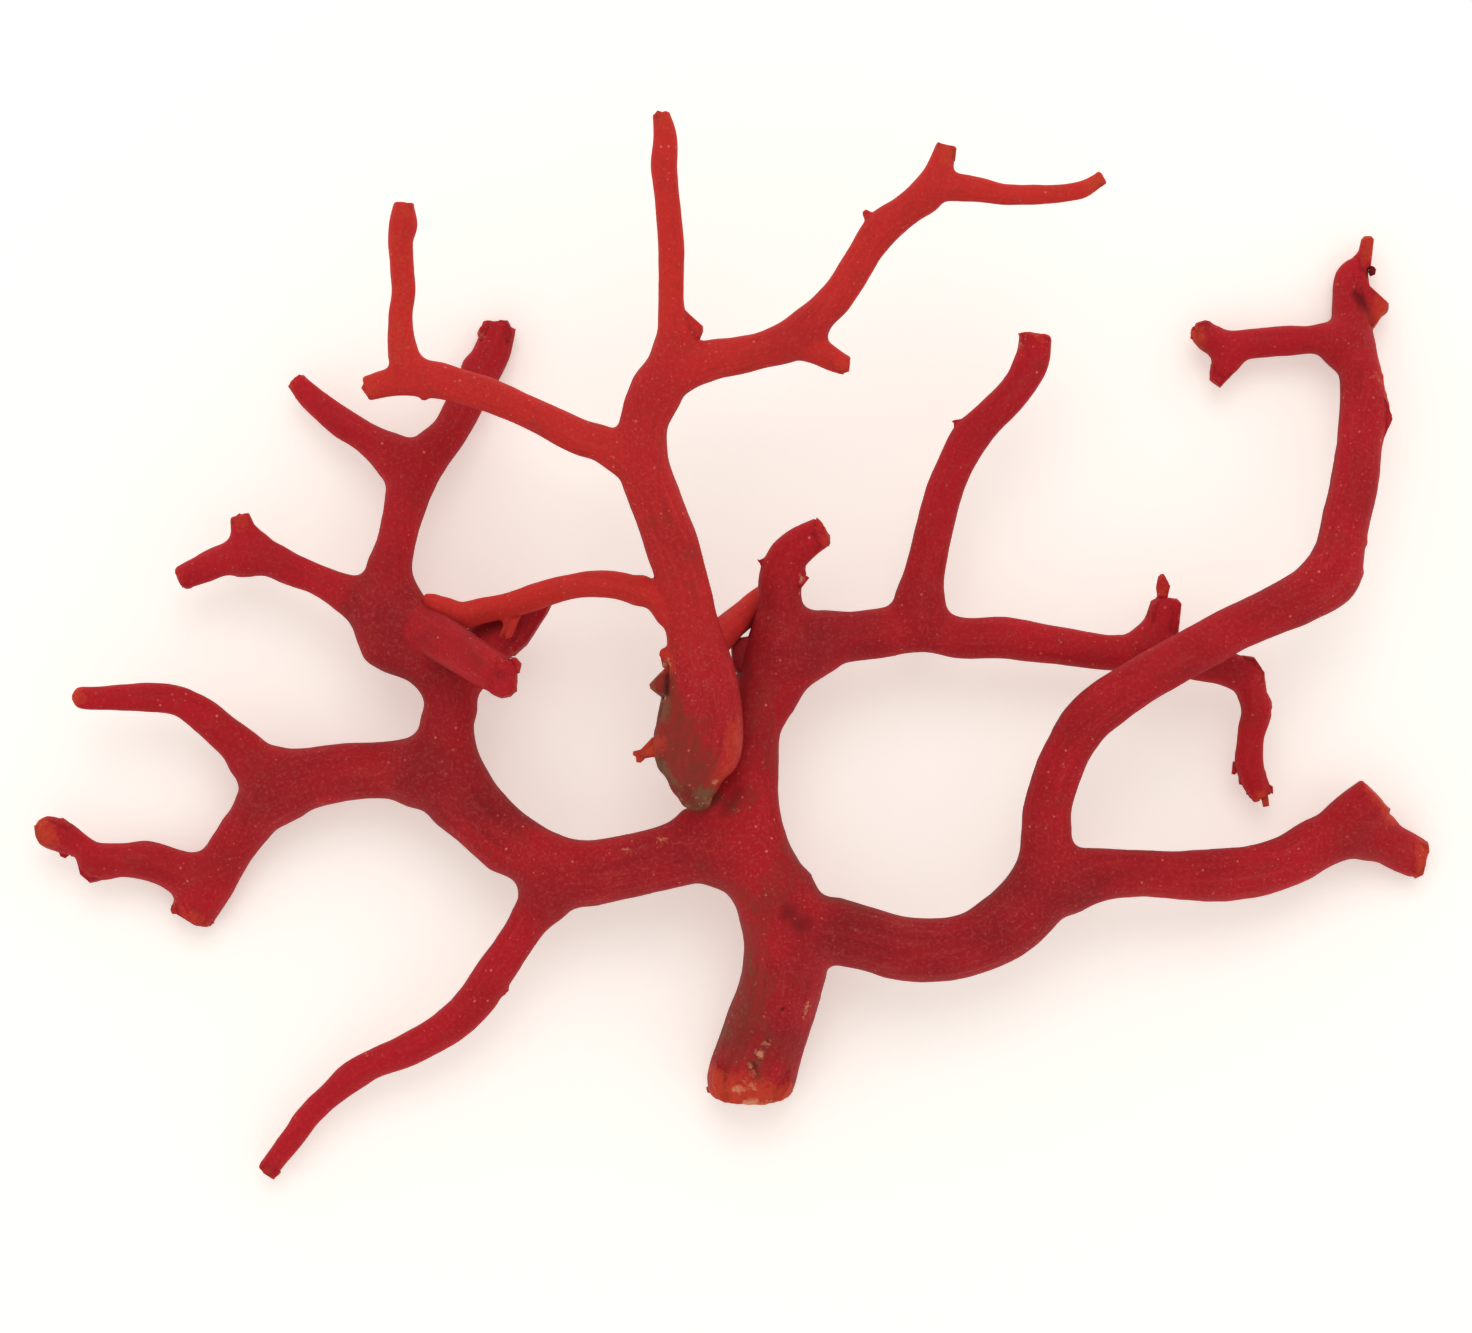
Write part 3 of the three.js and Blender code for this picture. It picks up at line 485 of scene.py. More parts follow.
# Chips and shards of broken coral: the height of the middle, half the thickness, and the outline.
DARK_CHIPS = [
    [4, 1.6, [85.7, 53.3], [87.6, 52.2], [88.3, 51.3], [89.4, 50.3], [90.7, 49.3], [90, 47.9],
     [89.3, 47], [88.5, 45.7], [87.1, 45.7], [85.4, 49.9]],
    [3.6, 0.9, [86.4, 56.1], [86.9, 58.2], [87.3, 58.7], [88.4, 58.7], [88.7, 58.3], [88.3, 56.1],
     [88.2, 54.2], [86.5, 53.2]],
    [9.4, 1.9, [88.1, 37], [89.1, 36.2], [89.8, 34.5], [90.3, 32.9], [89.6, 31.5], [89.1, 30.2],
     [87.8, 29.5]],
    [4.6, 1.4, [65.3, 47], [63.9, 46.6], [63.6, 45.8], [63.9, 44.9], [63.7, 44.1], [64.2, 43.3],
     [65.5, 42.9], [67.2, 43.4], [67, 45.4]],
    [4.3, 1.2, [66, 40.9], [66.2, 39.8], [65.8, 38.7], [66.5, 38.2], [67.3, 37.6], [68.3, 38.7],
     [69.3, 39.8], [68.4, 41.6]],
    [10.5, 0.8, [58, 10.6], [58.1, 11.4], [58.5, 11.8], [58.9, 11.8], [59.3, 11.1], [59.8, 10.1],
     [59.5, 9.2], [59.3, 8], [58.1, 8], [57.8, 9.8]],
    [10.3, 1.7, [57.9, 8.6], [59.5, 8.6], [60.7, 8.4], [61.4, 7.7], [61.1, 6.3], [60.9, 3.5],
     [57, 3.5], [56.6, 6.4]],
    [4.6, 1.3, [69.5, -14.6], [70.6, -17], [72.2, -18.9], [73.2, -19.4], [74, -18.3], [74.1, -17.4],
     [73, -15.2]],
    [4.7, 0.5, [69, -14], [68.8, -15.8], [69.3, -15.9], [69.9, -15.2], [70.3, -14]],
    [4.5, 0.5, [69.8, -16], [69.9, -17.2], [70.5, -17.4], [71.2, -16.4]],
    [4.6, 0.5, [70.8, -17.4], [70.9, -18.7], [71.6, -18.5], [72, -17.2]],
    [4.4, 0.5, [71.7, -18.6], [72, -19.7], [72.8, -19.5], [73, -18.2]],
    [4.6, 0.5, [72.9, -19], [73.2, -20.3], [74.1, -20.2], [73.9, -18.6]],
    [4.6, 0.5, [73.6, -18.2], [74.6, -18.5], [74.6, -17.5], [73.4, -16.8]],
    [8.2, 1.5, [69.8, 0.7], [71.5, 0.4], [72.4, -0.8], [72.9, -1.8], [72.8, -3.4], [71, -3], [69.6, -1]],
    [2.9, 2.2, [96.2, -25.1], [96, -26.3], [95.8, -28.4], [95.4, -29.9], [94.5, -30.3], [93.7, -29.6],
     [93.1, -27.7], [94.3, -24.8]],
    [21, 1.7, [11.2, 19.2], [12, 18.4], [12.6, 17], [12.9, 15.3], [11.7, 14.9], [10.3, 16.9]],
    [18, 0.5, [3.2, 13.6], [3.4, 13.2], [4.4, 12.4], [5.2, 12.6], [4.2, 13.4]],
    [17.8, 0.8, [9.1, 12], [9.6, 11.5], [10.3, 11.1], [9.8, 10.5], [9.2, 9.7], [8.2, 10.3]],
    [16.1, 1.6, [38.6, 44.3], [40.2, 44.2], [42.4, 43.9], [43.1, 43.5], [42.5, 41.7], [39.2, 41.9]],
    [9.3, 1.2, [-76.5, 12.3], [-75.9, 11], [-75.6, 9.9], [-73.6, 10.4], [-74.2, 12.6]],
    [10.8, 0.9, [-68.7, 19.1], [-67.6, 20.1], [-66.6, 19.5], [-66.4, 17.4], [-68.3, 17.4]],
    [3, 2.1, [-78, -34.7], [-77.2, -33], [-76.1, -35.3], [-74.4, -36.9], [-73, -36.8], [-71.9, -36.5],
     [-73.5, -34.2], [-76.3, -32.8]],
    [7.1, 1.4, [-96.3, -22.8], [-95.2, -22.3], [-93.4, -21.9], [-92.3, -21.7], [-90.9, -22.7],
     [-91.6, -25.4], [-94.1, -26.1], [-95.7, -25.1], [-96.2, -23.9]],
    [5.5, 1.4, [-90.7, -27.6], [-90.4, -28.6], [-90.2, -29.6], [-88.8, -30.8], [-87.4, -30.5],
     [-86.2, -29.8], [-87.4, -27.2]],
    [5.9, 0.4, [-91.8, -26.3], [-91.4, -27.1], [-90.8, -27.2], [-90.6, -26.2]],
    [3.9, 1.1, [-65.7, -70], [-64.7, -71.2], [-63.6, -71.9], [-62.6, -70.9], [-63.9, -69]],
    [26.6, 2.6, [-33, -4], [-31.8, -4.8], [-30.8, -5.2], [-29.6, -4.9], [-28.8, -4.2], [-28.7, -2.2],
     [-28.9, -0.6], [-29.5, 0.1], [-31.6, 0.6]],
    [27, 1.2, [-29.6, 0.4], [-28.9, 0.3], [-28.2, -0.5], [-28.4, -1.8], [-29.4, -2]],
    [11.4, 2.4, [-24.7, 7.7], [-25.3, 6.4], [-26.9, 4.4], [-28.2, 2], [-29.9, 0.5], [-31.9, 0.7],
     [-33.3, 4.8], [-31.2, 7.6], [-27.5, 8.3]],
    [2.5, 1.9, [-35.6, 45.3], [-35.1, 46.2], [-34, 46.7], [-32.6, 46.2], [-33.5, 43.5], [-35.2, 44]],
    [2.4, 2, [-33.4, 46.4], [-32.4, 47.2], [-31.3, 47.1], [-30.6, 45.8], [-30.8, 43.6], [-33, 43.2]],
    [5.6, 5, [-3.6, -57.4], [-3.6, -58.3], [-3.1, -59.5], [-2.6, -60.5], [1.4, -61.2], [4.5, -61.3],
     [5.8, -60.8], [7, -60.4], [7.7, -59.5], [8.5, -58.5], [8.6, -57.6], [8.6, -54.6], [-3, -54.8]],
    [4.6, 0.8, [-3.2, -58.7], [-3.8, -59.1], [-3.6, -59.8], [-2.8, -60], [-2.2, -59]],
    [3.5, 0.7, [88.2, 54.6], [88.7, 54.5], [89, 54], [88.8, 53.3], [88.2, 53.1], [87.9, 53.8]],
    [15, 1.6, [-0.4, 2.4], [0.6, 3], [2, 3.1], [3.4, 3.4], [2.9, -0.6], [1, -2.6], [-0.2, -1]],
    [4.6, 0.5, [64, 46.3], [63.4, 46], [63.2, 45.5], [64.3, 45.2]],
    [4.7, 0.5, [64.2, 45], [63.2, 44.9], [63.1, 44.4], [64.2, 44.1]],
    [5.6, 0.6, [-93.2, -26.2], [-92.9, -27.1], [-92.2, -27.4], [-91.6, -26.9], [-91.6, -25.8]],
    [12.9, 0.5, [3.2, -53.3], [3.8, -53.1], [4.2, -53.5], [4.1, -54.1], [3.5, -54.3], [3, -53.9]],
    [13.1, 0.5, [4, -51.9], [4.6, -51.8], [5.1, -52.2], [4.9, -52.7], [4.3, -52.8]],
    [12.6, 0.4, [2, -55.1], [2.5, -55], [2.8, -55.4], [2.4, -55.8], [2, -55.6]],
    [13.6, 0.3, [2.3, -50.4], [2.7, -50.4], [2.8, -50.8], [2.4, -50.9]],
]
# Broken places, rougher than the worn skin: x, y and the reach.
DARK_BREAKS = [
    [1.9, -59.6, 6.2], [-94.4, -23.8, 2.6], [-75.3, -35.3, 3.4], [73, -18, 3], [41, 43.2, 2.4],
    [65, 45, 2.6], [67, 38.6, 2], [87.6, 56.4, 2.4], [59, 9.6, 2.6], [-67.5, 18.9, 1.8],
    [-88.7, -29.2, 1.8], [-64.2, -70.6, 1.8], [-75.6, 11.2, 1.8], [89.5, 48.6, 2.4],
    [-33, 46.4, 2.4], [72.4, -2.4, 2.4], [89.2, 35.6, 2.4], [88.4, 39, 2], [73.4, -7, 2],
]
# Colours that lie in places, each from x, y to x, y, with its reach and its strength: fresh breaks,
# brown earth, olive crust, dark pits with painted shade, and pale grains.
DARK_MARKS = {
    "fresh": [
        [-2.4, -59, 6.8, -60.6, 3.4, 1], [-2.8, -57, -1.8, -60, 2.2, 0.9],
        [1, -57.6, 4.8, -58.8, 2.4, 0.7], [-96.4, -23.2, -95.4, -24, 3.2, 1.1],
        [-76.8, -34.2, -72.6, -36.8, 1.7, 0.5], [-68, 20, -67.4, 19, 1.9, 0.6],
        [88, 58.8, 87.9, 56.4, 1.9, 0.9], [90.4, 48.9, 88.8, 47.4, 2.4, 0.9],
        [63.2, 45.4, 63.8, 44.2, 1.7, 0.8], [66, 38.2, 66.8, 38, 1.5, 0.4],
        [91, -20.8, 88.2, -17.4, 2.4, 0.9], [96.1, -25.6, 95.2, -30, 2.2, 0.9],
        [13, 15.4, 12, 18.8, 1.8, 0.6], [40, 44.4, 43, 43.4, 1.8, 0.4],
        [73.8, -20.2, 73, -19, 1.9, 0.7], [58.5, 11.8, 58.6, 9.6, 1.6, 0.6],
        [71.3, 0, 72.8, -3, 1.2, 0.4], [88.6, 41, 90.6, 33, 1.3, 0.4],
        [-65.4, -71, -63.6, -71.8, 1.5, 0.35], [-28.2, -4.4, -28.1, -0.8, 1.2, 0.6],
        [-41.8, 4.9, -31.4, -0.4, 0.8, 0.2], [90.4, 33, 88, 39, 1.4, 0.25],
        [-76.4, 11.6, -75.8, 10.2, 1.6, 0.35], [-60.8, 38.8, -60.2, 38, 1.4, 0.35],
        [-90.8, -5.1, -89.8, -5.1, 2.2, 0.85], [2, -23.5, 5.8, -29.2, 3.6, 0.12],
    ],
    "earth": [
        [2.4, -43.5, -0.2, -53.5, 3.8, 0.85], [2.8, -37, 1.6, -44, 3, 0.6],
        [-0.4, -54.5, -1.4, -57, 2, 0.6], [4.4, -51.6, 3.4, -56.4, 2.2, 0.55],
        [5, -32.9, 8.2, -26.6, 3.8, 0.5], [-10.8, -21.2, -2.2, -18.6, 1.2, 0.9],
        [-4.2, -28, 3.2, -33.4, 1.6, 0.5], [-0.6, -20.4, 3, -17.8, 2.2, 0.4],
        [12.6, -31.6, 17.8, -33, 1.5, 0.7], [-67.9, 20.2, -67.2, 19.4, 1.2, 0.5],
        [9, -44, 6.8, -58, 1.6, 0.3], [88.2, -26.6, 82, -29.6, 1.1, 0.35],
        [4.6, -14, 3.6, -4, 2.6, 0.25], [9, 1.4, 17, 3, 3, 0.2],
    ],
    "crust": [
        [0.9, -46, -1.2, -53.8, 1.7, 0.36], [2.6, -40.5, 1.8, -44, 1.3, 0.25],
        [3.6, -53.6, 3.4, -57.2, 1.3, 0.5], [-10.4, -20.6, -5.6, -19.4, 0.7, 0.7],
        [-1, -20.6, 0.6, -20, 1, 0.3],
    ],
    # The shade marks are dark pits, and painted shade in forks, under crossing limbs and where the
    # bright growth rests on the dark one.
    "shade": [
        [7.6, -34, 9.4, -35.6, 2.4, 0.6], [86.1, 50.7, 86.9, 49.6, 0.9, 0.85],
        [86.6, 49.6, 88.2, 47.2, 1.4, 0.42], [88.6, 54.3, 88.5, 53.5, 1, 0.9],
        [-36.2, 2.2, -34.2, 0.4, 2.2, 0.25], [0.6, 2, 1.4, -1.6, 2.2, 0.3],
        [6.5, -51.1, 6.5, -51.1, 0.27, 2.4], [6.95, -47.3, 6.95, -47.3, 0.27, 2.4],
        [2.9, -55.4, 3.3, -56.8, 0.8, 0.5], [-36.5, 3.4, -29.6, 6.5, 2.4, 0.3],
        [-74.8, -33.9, -73.4, -35, 0.7, 0.25], [56.8, -2.6, 62, -1.2, 1.6, 0.2],
        [-1.2, -20.8, 0.8, -17.6, 1.2, 0.4], [-44.4, 5.2, -38.6, 3, 1.8, 0.2],
    ],
    "pale": [
        [-10, -24.4, -8.1, -25.4, 1.3, 0.44], [3.4, -53.5, 3.8, -53.9, 0.8, 0.85],
        [4.4, -52.2, 4.8, -52.4, 0.7, 0.5], [2.3, -50.6, 2.6, -50.8, 0.5, 0.6],
        [1.6, -60.7, 2.8, -60.5, 0.9, 1.1], [3.6, -61, 5.2, -60.8, 0.9, 0.6],
        [2.2, -55.3, 2.7, -56.4, 0.7, 0.55], [-0.4, -48.4, -0.3, -48.5, 0.5, 0.7],
        [0.4, -58.6, 0.8, -58.9, 0.7, 0.7], [2.6, -58, 2.9, -58.6, 0.6, 0.6],
        [1.4, -57.4, 1.9, -58.2, 0.7, 0.5], [10.2, -45.6, 9.3, -49.6, 0.5, 0.45],
        [-35.5, 45.2, -34.6, 44.4, 0.5, 0.6], [9.1, 11.5, 9.2, 10.8, 0.45, 0.9],
        [-15.3, -25.5, -13.6, -25.9, 0.5, 0.38], [0.9, -58, 1.5, -58.6, 0.8, 0.55],
        [85.9, 51.3, 86.2, 51.1, 0.5, 0.7], [0.2, -20.2, 0.5, -20.5, 0.5, 0.35],
        [38.6, 44, 39, 42.6, 0.5, 0.4], [-36, 34, -35.8, 33.6, 0.4, 0.5],
        [27.6, -36, 29.4, -35.5, 0.35, 0.4], [16, -36.4, 16.6, -36.6, 0.6, 0.4],
    ],
}


def pulled(piece, pulls):
    """Makes the skin fuller or slimmer at each pull."""
    points = mesh_points(piece)
    move = np.zeros_like(points)
    for x, y, right, far, reach in np.array(pulls) * MM:
        away = np.hypot(points[:, 0] - x, points[:, 1] - y)
        near = np.clip(1 - away / reach, 0, 1)
        near = near * near * (3 - 2 * near)
        move[:, 0] += near * right
        move[:, 1] += near * far
    move_points(piece, points + move)


# The height and the size of the skin's lumps, in millimetres, everywhere and at the breaks, and
# how steeply the second ones set in at a break's edge.
LUMPS = [[0.15, 6], [0.07, 2.2]]
BREAK_LUMPS = [[0.22, 1.5], [0.12, 0.7]]
BREAK_EDGE = 1.6


def weathered(piece, breaks, seed):
    """Gives the skin its lumps, finer and higher ones where the coral is broken."""
    rough_spots = np.array(breaks) * MM
    form = bmesh.new()
    form.from_mesh(piece.data)
    fine = []
    for edge in form.edges:
        middle = (edge.verts[0].co + edge.verts[1].co) / 2
        if any(math.hypot(middle.x - x, middle.y - y) < reach for x, y, reach in rough_spots):
            fine.append(edge)
    bmesh.ops.subdivide_edges(form, edges=fine, cuts=1, use_grid_fill=True, smooth=1)
    form.to_mesh(piece.data)
    form.free()
    points = mesh_points(piece)
    normals = outward(piece)
    height = np.zeros(len(points))
    broken = np.zeros(len(points))
    for x, y, reach in rough_spots:
        away = np.hypot(points[:, 0] - x, points[:, 1] - y)
        broken = np.maximum(broken, np.clip(BREAK_EDGE * (1 - away / reach), 0, 1))
    for high, size in LUMPS:
        height += high * MM * rough(points, size * MM, seed)
        seed += 1
    for high, size in BREAK_LUMPS:
        height += broken * high * MM * rough(points, size * MM, seed)
        seed += 1
    points = points + normals * height[:, None]
    points[:, 2] = np.maximum(points[:, 2], 0)
    move_points(piece, points)


# How much of a chip's outline is left at its top and bottom, how finely its faces are cut up, and
# how high and how wide the bumps on them are.
CHIP_TAPER = 0.85
CHIP_CUTS = 2
CHIP_ROUGHNESS = 0.07 * MM
CHIP_GRAIN = 0.6 * MM


def chipped(piece, chips, seed):
    """Adds the chips: each is the hull of its outline, drawn in above and below, with rough faces."""
    form = bmesh.new()
    form.from_mesh(piece.data)
    for number, (height, half, *outline) in enumerate(chips):
        chip = bmesh.new()
        outline = np.array(outline)
        middle = outline.mean(0)
        for x, y in outline:
            chip.verts.new(Vector((x, y, height)) * MM)
            for level in (height - half, height + half):
                x_in, y_in = middle + (np.array((x, y)) - middle) * CHIP_TAPER
                chip.verts.new(Vector((x_in, y_in, level)) * MM)
        bmesh.ops.convex_hull(chip, input=chip.verts)
        bmesh.ops.subdivide_edges(chip, edges=chip.edges[:], cuts=CHIP_CUTS, use_grid_fill=True)
        bmesh.ops.recalc_face_normals(chip, faces=chip.faces[:])
        shift = Vector((number + seed, seed * 3.1, number * 0.7))
        for vertex in chip.verts:
            lift = noise.noise(vertex.co / CHIP_GRAIN + shift)
            vertex.co += vertex.normal * lift * CHIP_ROUGHNESS
            vertex.co.z = max(vertex.co.z, 0)
        for face in chip.faces:
            face.smooth = True
        made = bpy.data.meshes.new("chip")
        chip.to_mesh(made)
        chip.free()
        form.from_mesh(made)
        bpy.data.meshes.remove(made)
    form.to_mesh(piece.data)
    form.free()


def note(piece, name, values):
    """Keeps a number or three for each point of the skin, for the finish to read."""
    kind, key = ("FLOAT_VECTOR", "vector") if values.ndim == 2 else ("FLOAT", "value")
    noted = piece.data.attributes.new(name, kind, "POINT")
    noted.data.foreach_set(key, values.ravel())


# Grooves are gone where the next limb's flesh is nearer than the first distance, and are clear
# beyond the second. A limb counts as thick from the one radius and as thin below the other. Each
# limb's grain starts a little further along than the last one's, so that no two are alike.
GROOVES_END = 0.6 * MM
GROOVES_CLEAR = 2.2 * MM
THICK_RADIUS = 4.6 * MM
THIN_RADIUS = 1.6 * MM
GRAIN_SHIFT_PER_LIMB = 0.1


def note_grain(piece, limbs):
    """Notes on each point of the skin how its limb's grain runs there, and how thin the limb is."""
    points = mesh_points(piece)
    row, other = limbs.nearest(points)
    away = points - limbs.rows[row, :3]
    along = limbs.along[row] + (away * limbs.ahead[row]).sum(1)
    grain = np.stack([
        (away * limbs.side[row]).sum(1),
        (away * limbs.up[row]).sum(1),
        along + GRAIN_SHIFT_PER_LIMB * limbs.limb[row],
    ], 1)
    note(piece, "grain", grain)
    clear = (other - GROOVES_END) / (GROOVES_CLEAR - GROOVES_END)
    note(piece, "grain_clear", np.clip(clear, 0, 1))
    thin = (THICK_RADIUS - limbs.rows[row, 3]) / (THICK_RADIUS - THIN_RADIUS)
    note(piece, "thin", np.clip(thin, 0, 1))


# Marks have ragged edges with teeth of that size. They show on the skin's sides and its top, and
# fade out as it turns under.
MARK_GRAIN = 1.1 * MM
MARK_RAGGED = 0.3
MARK_SEED = 9
SEEN_SIDEWAYS = 1.2
SEEN_PER_TILT = 1.6


def note_marks(piece, name, marks):
    """Notes how strongly the marks of one kind show at each point: not at all underneath."""
    points = mesh_points(piece)
    ragged = MARK_RAGGED * rough(points, MARK_GRAIN, MARK_SEED)
    seen = np.clip(SEEN_SIDEWAYS + SEEN_PER_TILT * outward(piece)[:, 2], 0, 1)
    points = points[:, :2]
    shown = np.zeros(len(points))
    for x0, y0, x1, y1, reach, strength in marks:
        start = np.array((x0, y0)) * MM
        run = np.array((x1 - x0, y1 - y0)) * MM
        share = np.clip(((points - start) @ run) / max(run @ run, 1e-12), 0, 1)
        away = np.linalg.norm(points - start - share[:, None] * run, axis=1)
        near = np.clip(1 - away / (reach * MM) + ragged, 0, 1)
        near = near * (2 - near)
        shown = np.maximum(shown, strength * near)
    note(piece, name, shown * seen)


def worn(piece, limbs, pulls, breaks, chips, marks, seed):
    """Gives a growth its true outline, its wear and its chips, and notes its grain and marks."""
    pulled(piece, pulls)
    weathered(piece, breaks, seed)
    chipped(piece, chips, seed)
    note_grain(piece, limbs)
    for kind, places in marks.items():
        note_marks(piece, kind, places)


DARK_SEED = 1
worn(dark_growth, dark_limbs, DARK_PULLS, DARK_BREAKS, DARK_CHIPS, DARK_MARKS, DARK_SEED)

DARK_CRIMSON = (152, 31, 38)
FRESH_CRIMSON = (185, 32, 42)
THIN_CRIMSON = (197, 31, 43)
BREAK_ORANGE = (208, 70, 48)
EARTH_BROWN = (134, 56, 44)
CRUST_OLIVE = (122, 92, 66)
# Dark brown of the grain's streaks and of pits, also used as painted shade in forks, under crossing
# limbs and at the rims.
GRAIN_PIT_AND_SHADE_BROWN = (62, 18, 22)
PALE_TAN = (226, 152, 118)
DUST = (248, 142, 128)
# How wide the patterns of the finish are, and how far the grain's are drawn out along a limb.
GROOVE_WIDTH = 0.42 * MM
FIBRE_WIDTH = 1.1 * MM
GRAIN_DRAWN_OUT = 0.07
MOTTLE_WIDTH = 0.5 * MM
BLOTCH_WIDTH = 3 * MM
TONE_WIDTH = 12 * MM
# Specks of grit: how far apart in millimetres, the share left clean, their size as a share of the
# first number, and their strength.
GRIT = [[1.5, 0.66, 0.1, 0.75], [0.9, 0.58, 0.13, 0.3]]
# Pale hair lines: how wide the loops are that they run in, in millimetres, and their strength.
HAIR_LINES = [[2.6, 0.5], [1.3, 0.3]]
BUMP_HEIGHT = 0.12 * MM
BUMP_STRENGTH = 0.35


def coral_finish(name, deep, fresh, thin_colour):
    """Coral, deep and fresh in tone where the limbs are thick, and of its own colour where thin."""
    finish = Finish(name)
    place = finish.node("ShaderNodeTexCoord", out=3)

    def attribute(wanted, out=2):
        return finish.node("ShaderNodeAttribute", {"attribute_name": wanted}, out=out)

    def cloud(where, size, detail=2, roughness=0.5):
        """Noise with blots of that size, in metres."""
        values = {"Vector": where, "Scale": 1 / size, "Detail": detail, "Roughness": roughness}
        return finish.node("ShaderNodeTexNoise", None, values)

    grain = {"Vector": attribute("grain", 1), "Scale": (1, 1, GRAIN_DRAWN_OUT)}
    drawn_out = finish.node("ShaderNodeMapping", {"vector_type": "POINT"}, grain)
    groove = cloud(drawn_out, GROOVE_WIDTH)
    fibre = cloud(drawn_out, FIBRE_WIDTH, 4, 0.65)
    tone = cloud(place, TONE_WIDTH, 4, 0.6)
    blotch = cloud(place, BLOTCH_WIDTH, 4, 0.65)
    mottle = cloud(place, MOTTLE_WIDTH, 3, 0.65)
    clear = attribute("grain_clear")
    thin = attribute("thin")
    # Thin limbs are smoother, so what is coarse shows less on them.
    coarse = 1 - thin * 0.6
    colour = finish.mix(tone.between(0.38, 0.62), linear(*deep), linear(*fresh))
    for share, layer in (
        (thin * 0.8, thin_colour),
        (blotch.between(0.52, 0.75) * 0.35, EARTH_BROWN),
        ((1 - blotch).between(0.56, 0.8) * 0.5, thin_colour),
        (fibre.between(0.5, 0.72) * clear * coarse * 0.24, GRAIN_PIT_AND_SHADE_BROWN),
        ((1 - fibre).between(0.56, 0.76) * clear * coarse * 0.09, DUST),
        (mottle.between(0.5, 0.75) * coarse * 0.14, DUST),
        ((1 - mottle).between(0.55, 0.8) * 0.3, deep),
        (groove.between(0.5, 0.75) * clear * 0.1, GRAIN_PIT_AND_SHADE_BROWN),
    ):
        colour = finish.mix(share, colour, linear(*layer))

    ragged = (mottle - 0.5) * 1.3 + (blotch - 0.5) * 1.3
    streaky = ragged + (fibre - 0.5) * 1.2
    marks = {}
    for kind, edge, low, high, strength, layer in (
        ("earth", streaky, 0.15, 1.05, 0.85, EARTH_BROWN),
        ("crust", streaky, 0.3, 0.8, 0.8, CRUST_OLIVE),
        ("fresh", ragged, 0.2, 0.95, 0.9, BREAK_ORANGE),
        # The shade marks are partly real dark pits and partly painted shade.
        ("shade", ragged * 0.6, 0.15, 0.9, 0.85, GRAIN_PIT_AND_SHADE_BROWN),
        ("pale", ragged * 1.4, 0.4, 0.9, 0.75, PALE_TAN),
    ):
        noted = attribute(kind)
        marks[kind] = (noted + edge).between(low, high) * noted.between(0, 0.2)
        colour = finish.mix(marks[kind] * strength, colour, linear(*layer))
    # Painted shade at the rims: the colour darkens where the skin turns from facing up to facing
    # sideways.
    facing = finish.node("ShaderNodeTexCoord", out=1)
    upward = finish.node("ShaderNodeSeparateXYZ", None, {"Vector": facing}, out=2)
    colour = finish.mix((1 - upward).between(0.6, 1) * 0.4, colour, linear(*GRAIN_PIT_AND_SHADE_BROWN))

    bump = mottle * 0.6 + groove * clear * 0.5 + marks["crust"] * (mottle * 2)
    dusty = tone.between(0.4, 0.6) * 0.25
    for apart, clean, width, strength in GRIT:
        cell = {"Vector": place, "Scale": 1 / (apart * MM)}
        near = finish.node("ShaderNodeTexVoronoi", None, cell)
        pick = finish.node("ShaderNodeTexVoronoi", None, cell, out=1)
        speck = 1 - near.between(width * 0.6, width * 1.6)
        grit = speck * (pick + dusty).between(clean, clean + 0.45)
        colour = finish.mix(grit * strength, colour, linear(*DUST))
        bump = bump + grit * 0.5
    for size, strength in HAIR_LINES:
        line = 1 - (cloud(place, size * MM, 1) - 0.5).math("ABSOLUTE").between(0.005, 0.02)
        colour = finish.mix(line * blotch.between(0.52, 0.6) * strength, colour, linear(*DUST))
    relief = {"Height": bump, "Strength": BUMP_STRENGTH, "Distance": BUMP_HEIGHT}
    finish.skin(
        base_color=colour, roughness=0.5 + 0.2 * mottle, specular_ior_level=0.08,
        normal=finish.node("ShaderNodeBump", None, relief),
        subsurface_weight=0.35, subsurface_radius=(1, 0.3, 0.25), subsurface_scale=1.2 * MM,
    )
    return finish.material


dark_coral = coral_finish("dark_coral", DARK_CRIMSON, FRESH_CRIMSON, THIN_CRIMSON)
dark_growth.data.materials.append(dark_coral)
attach(dark_growth, "root")
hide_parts(*[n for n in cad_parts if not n.startswith("bright")])


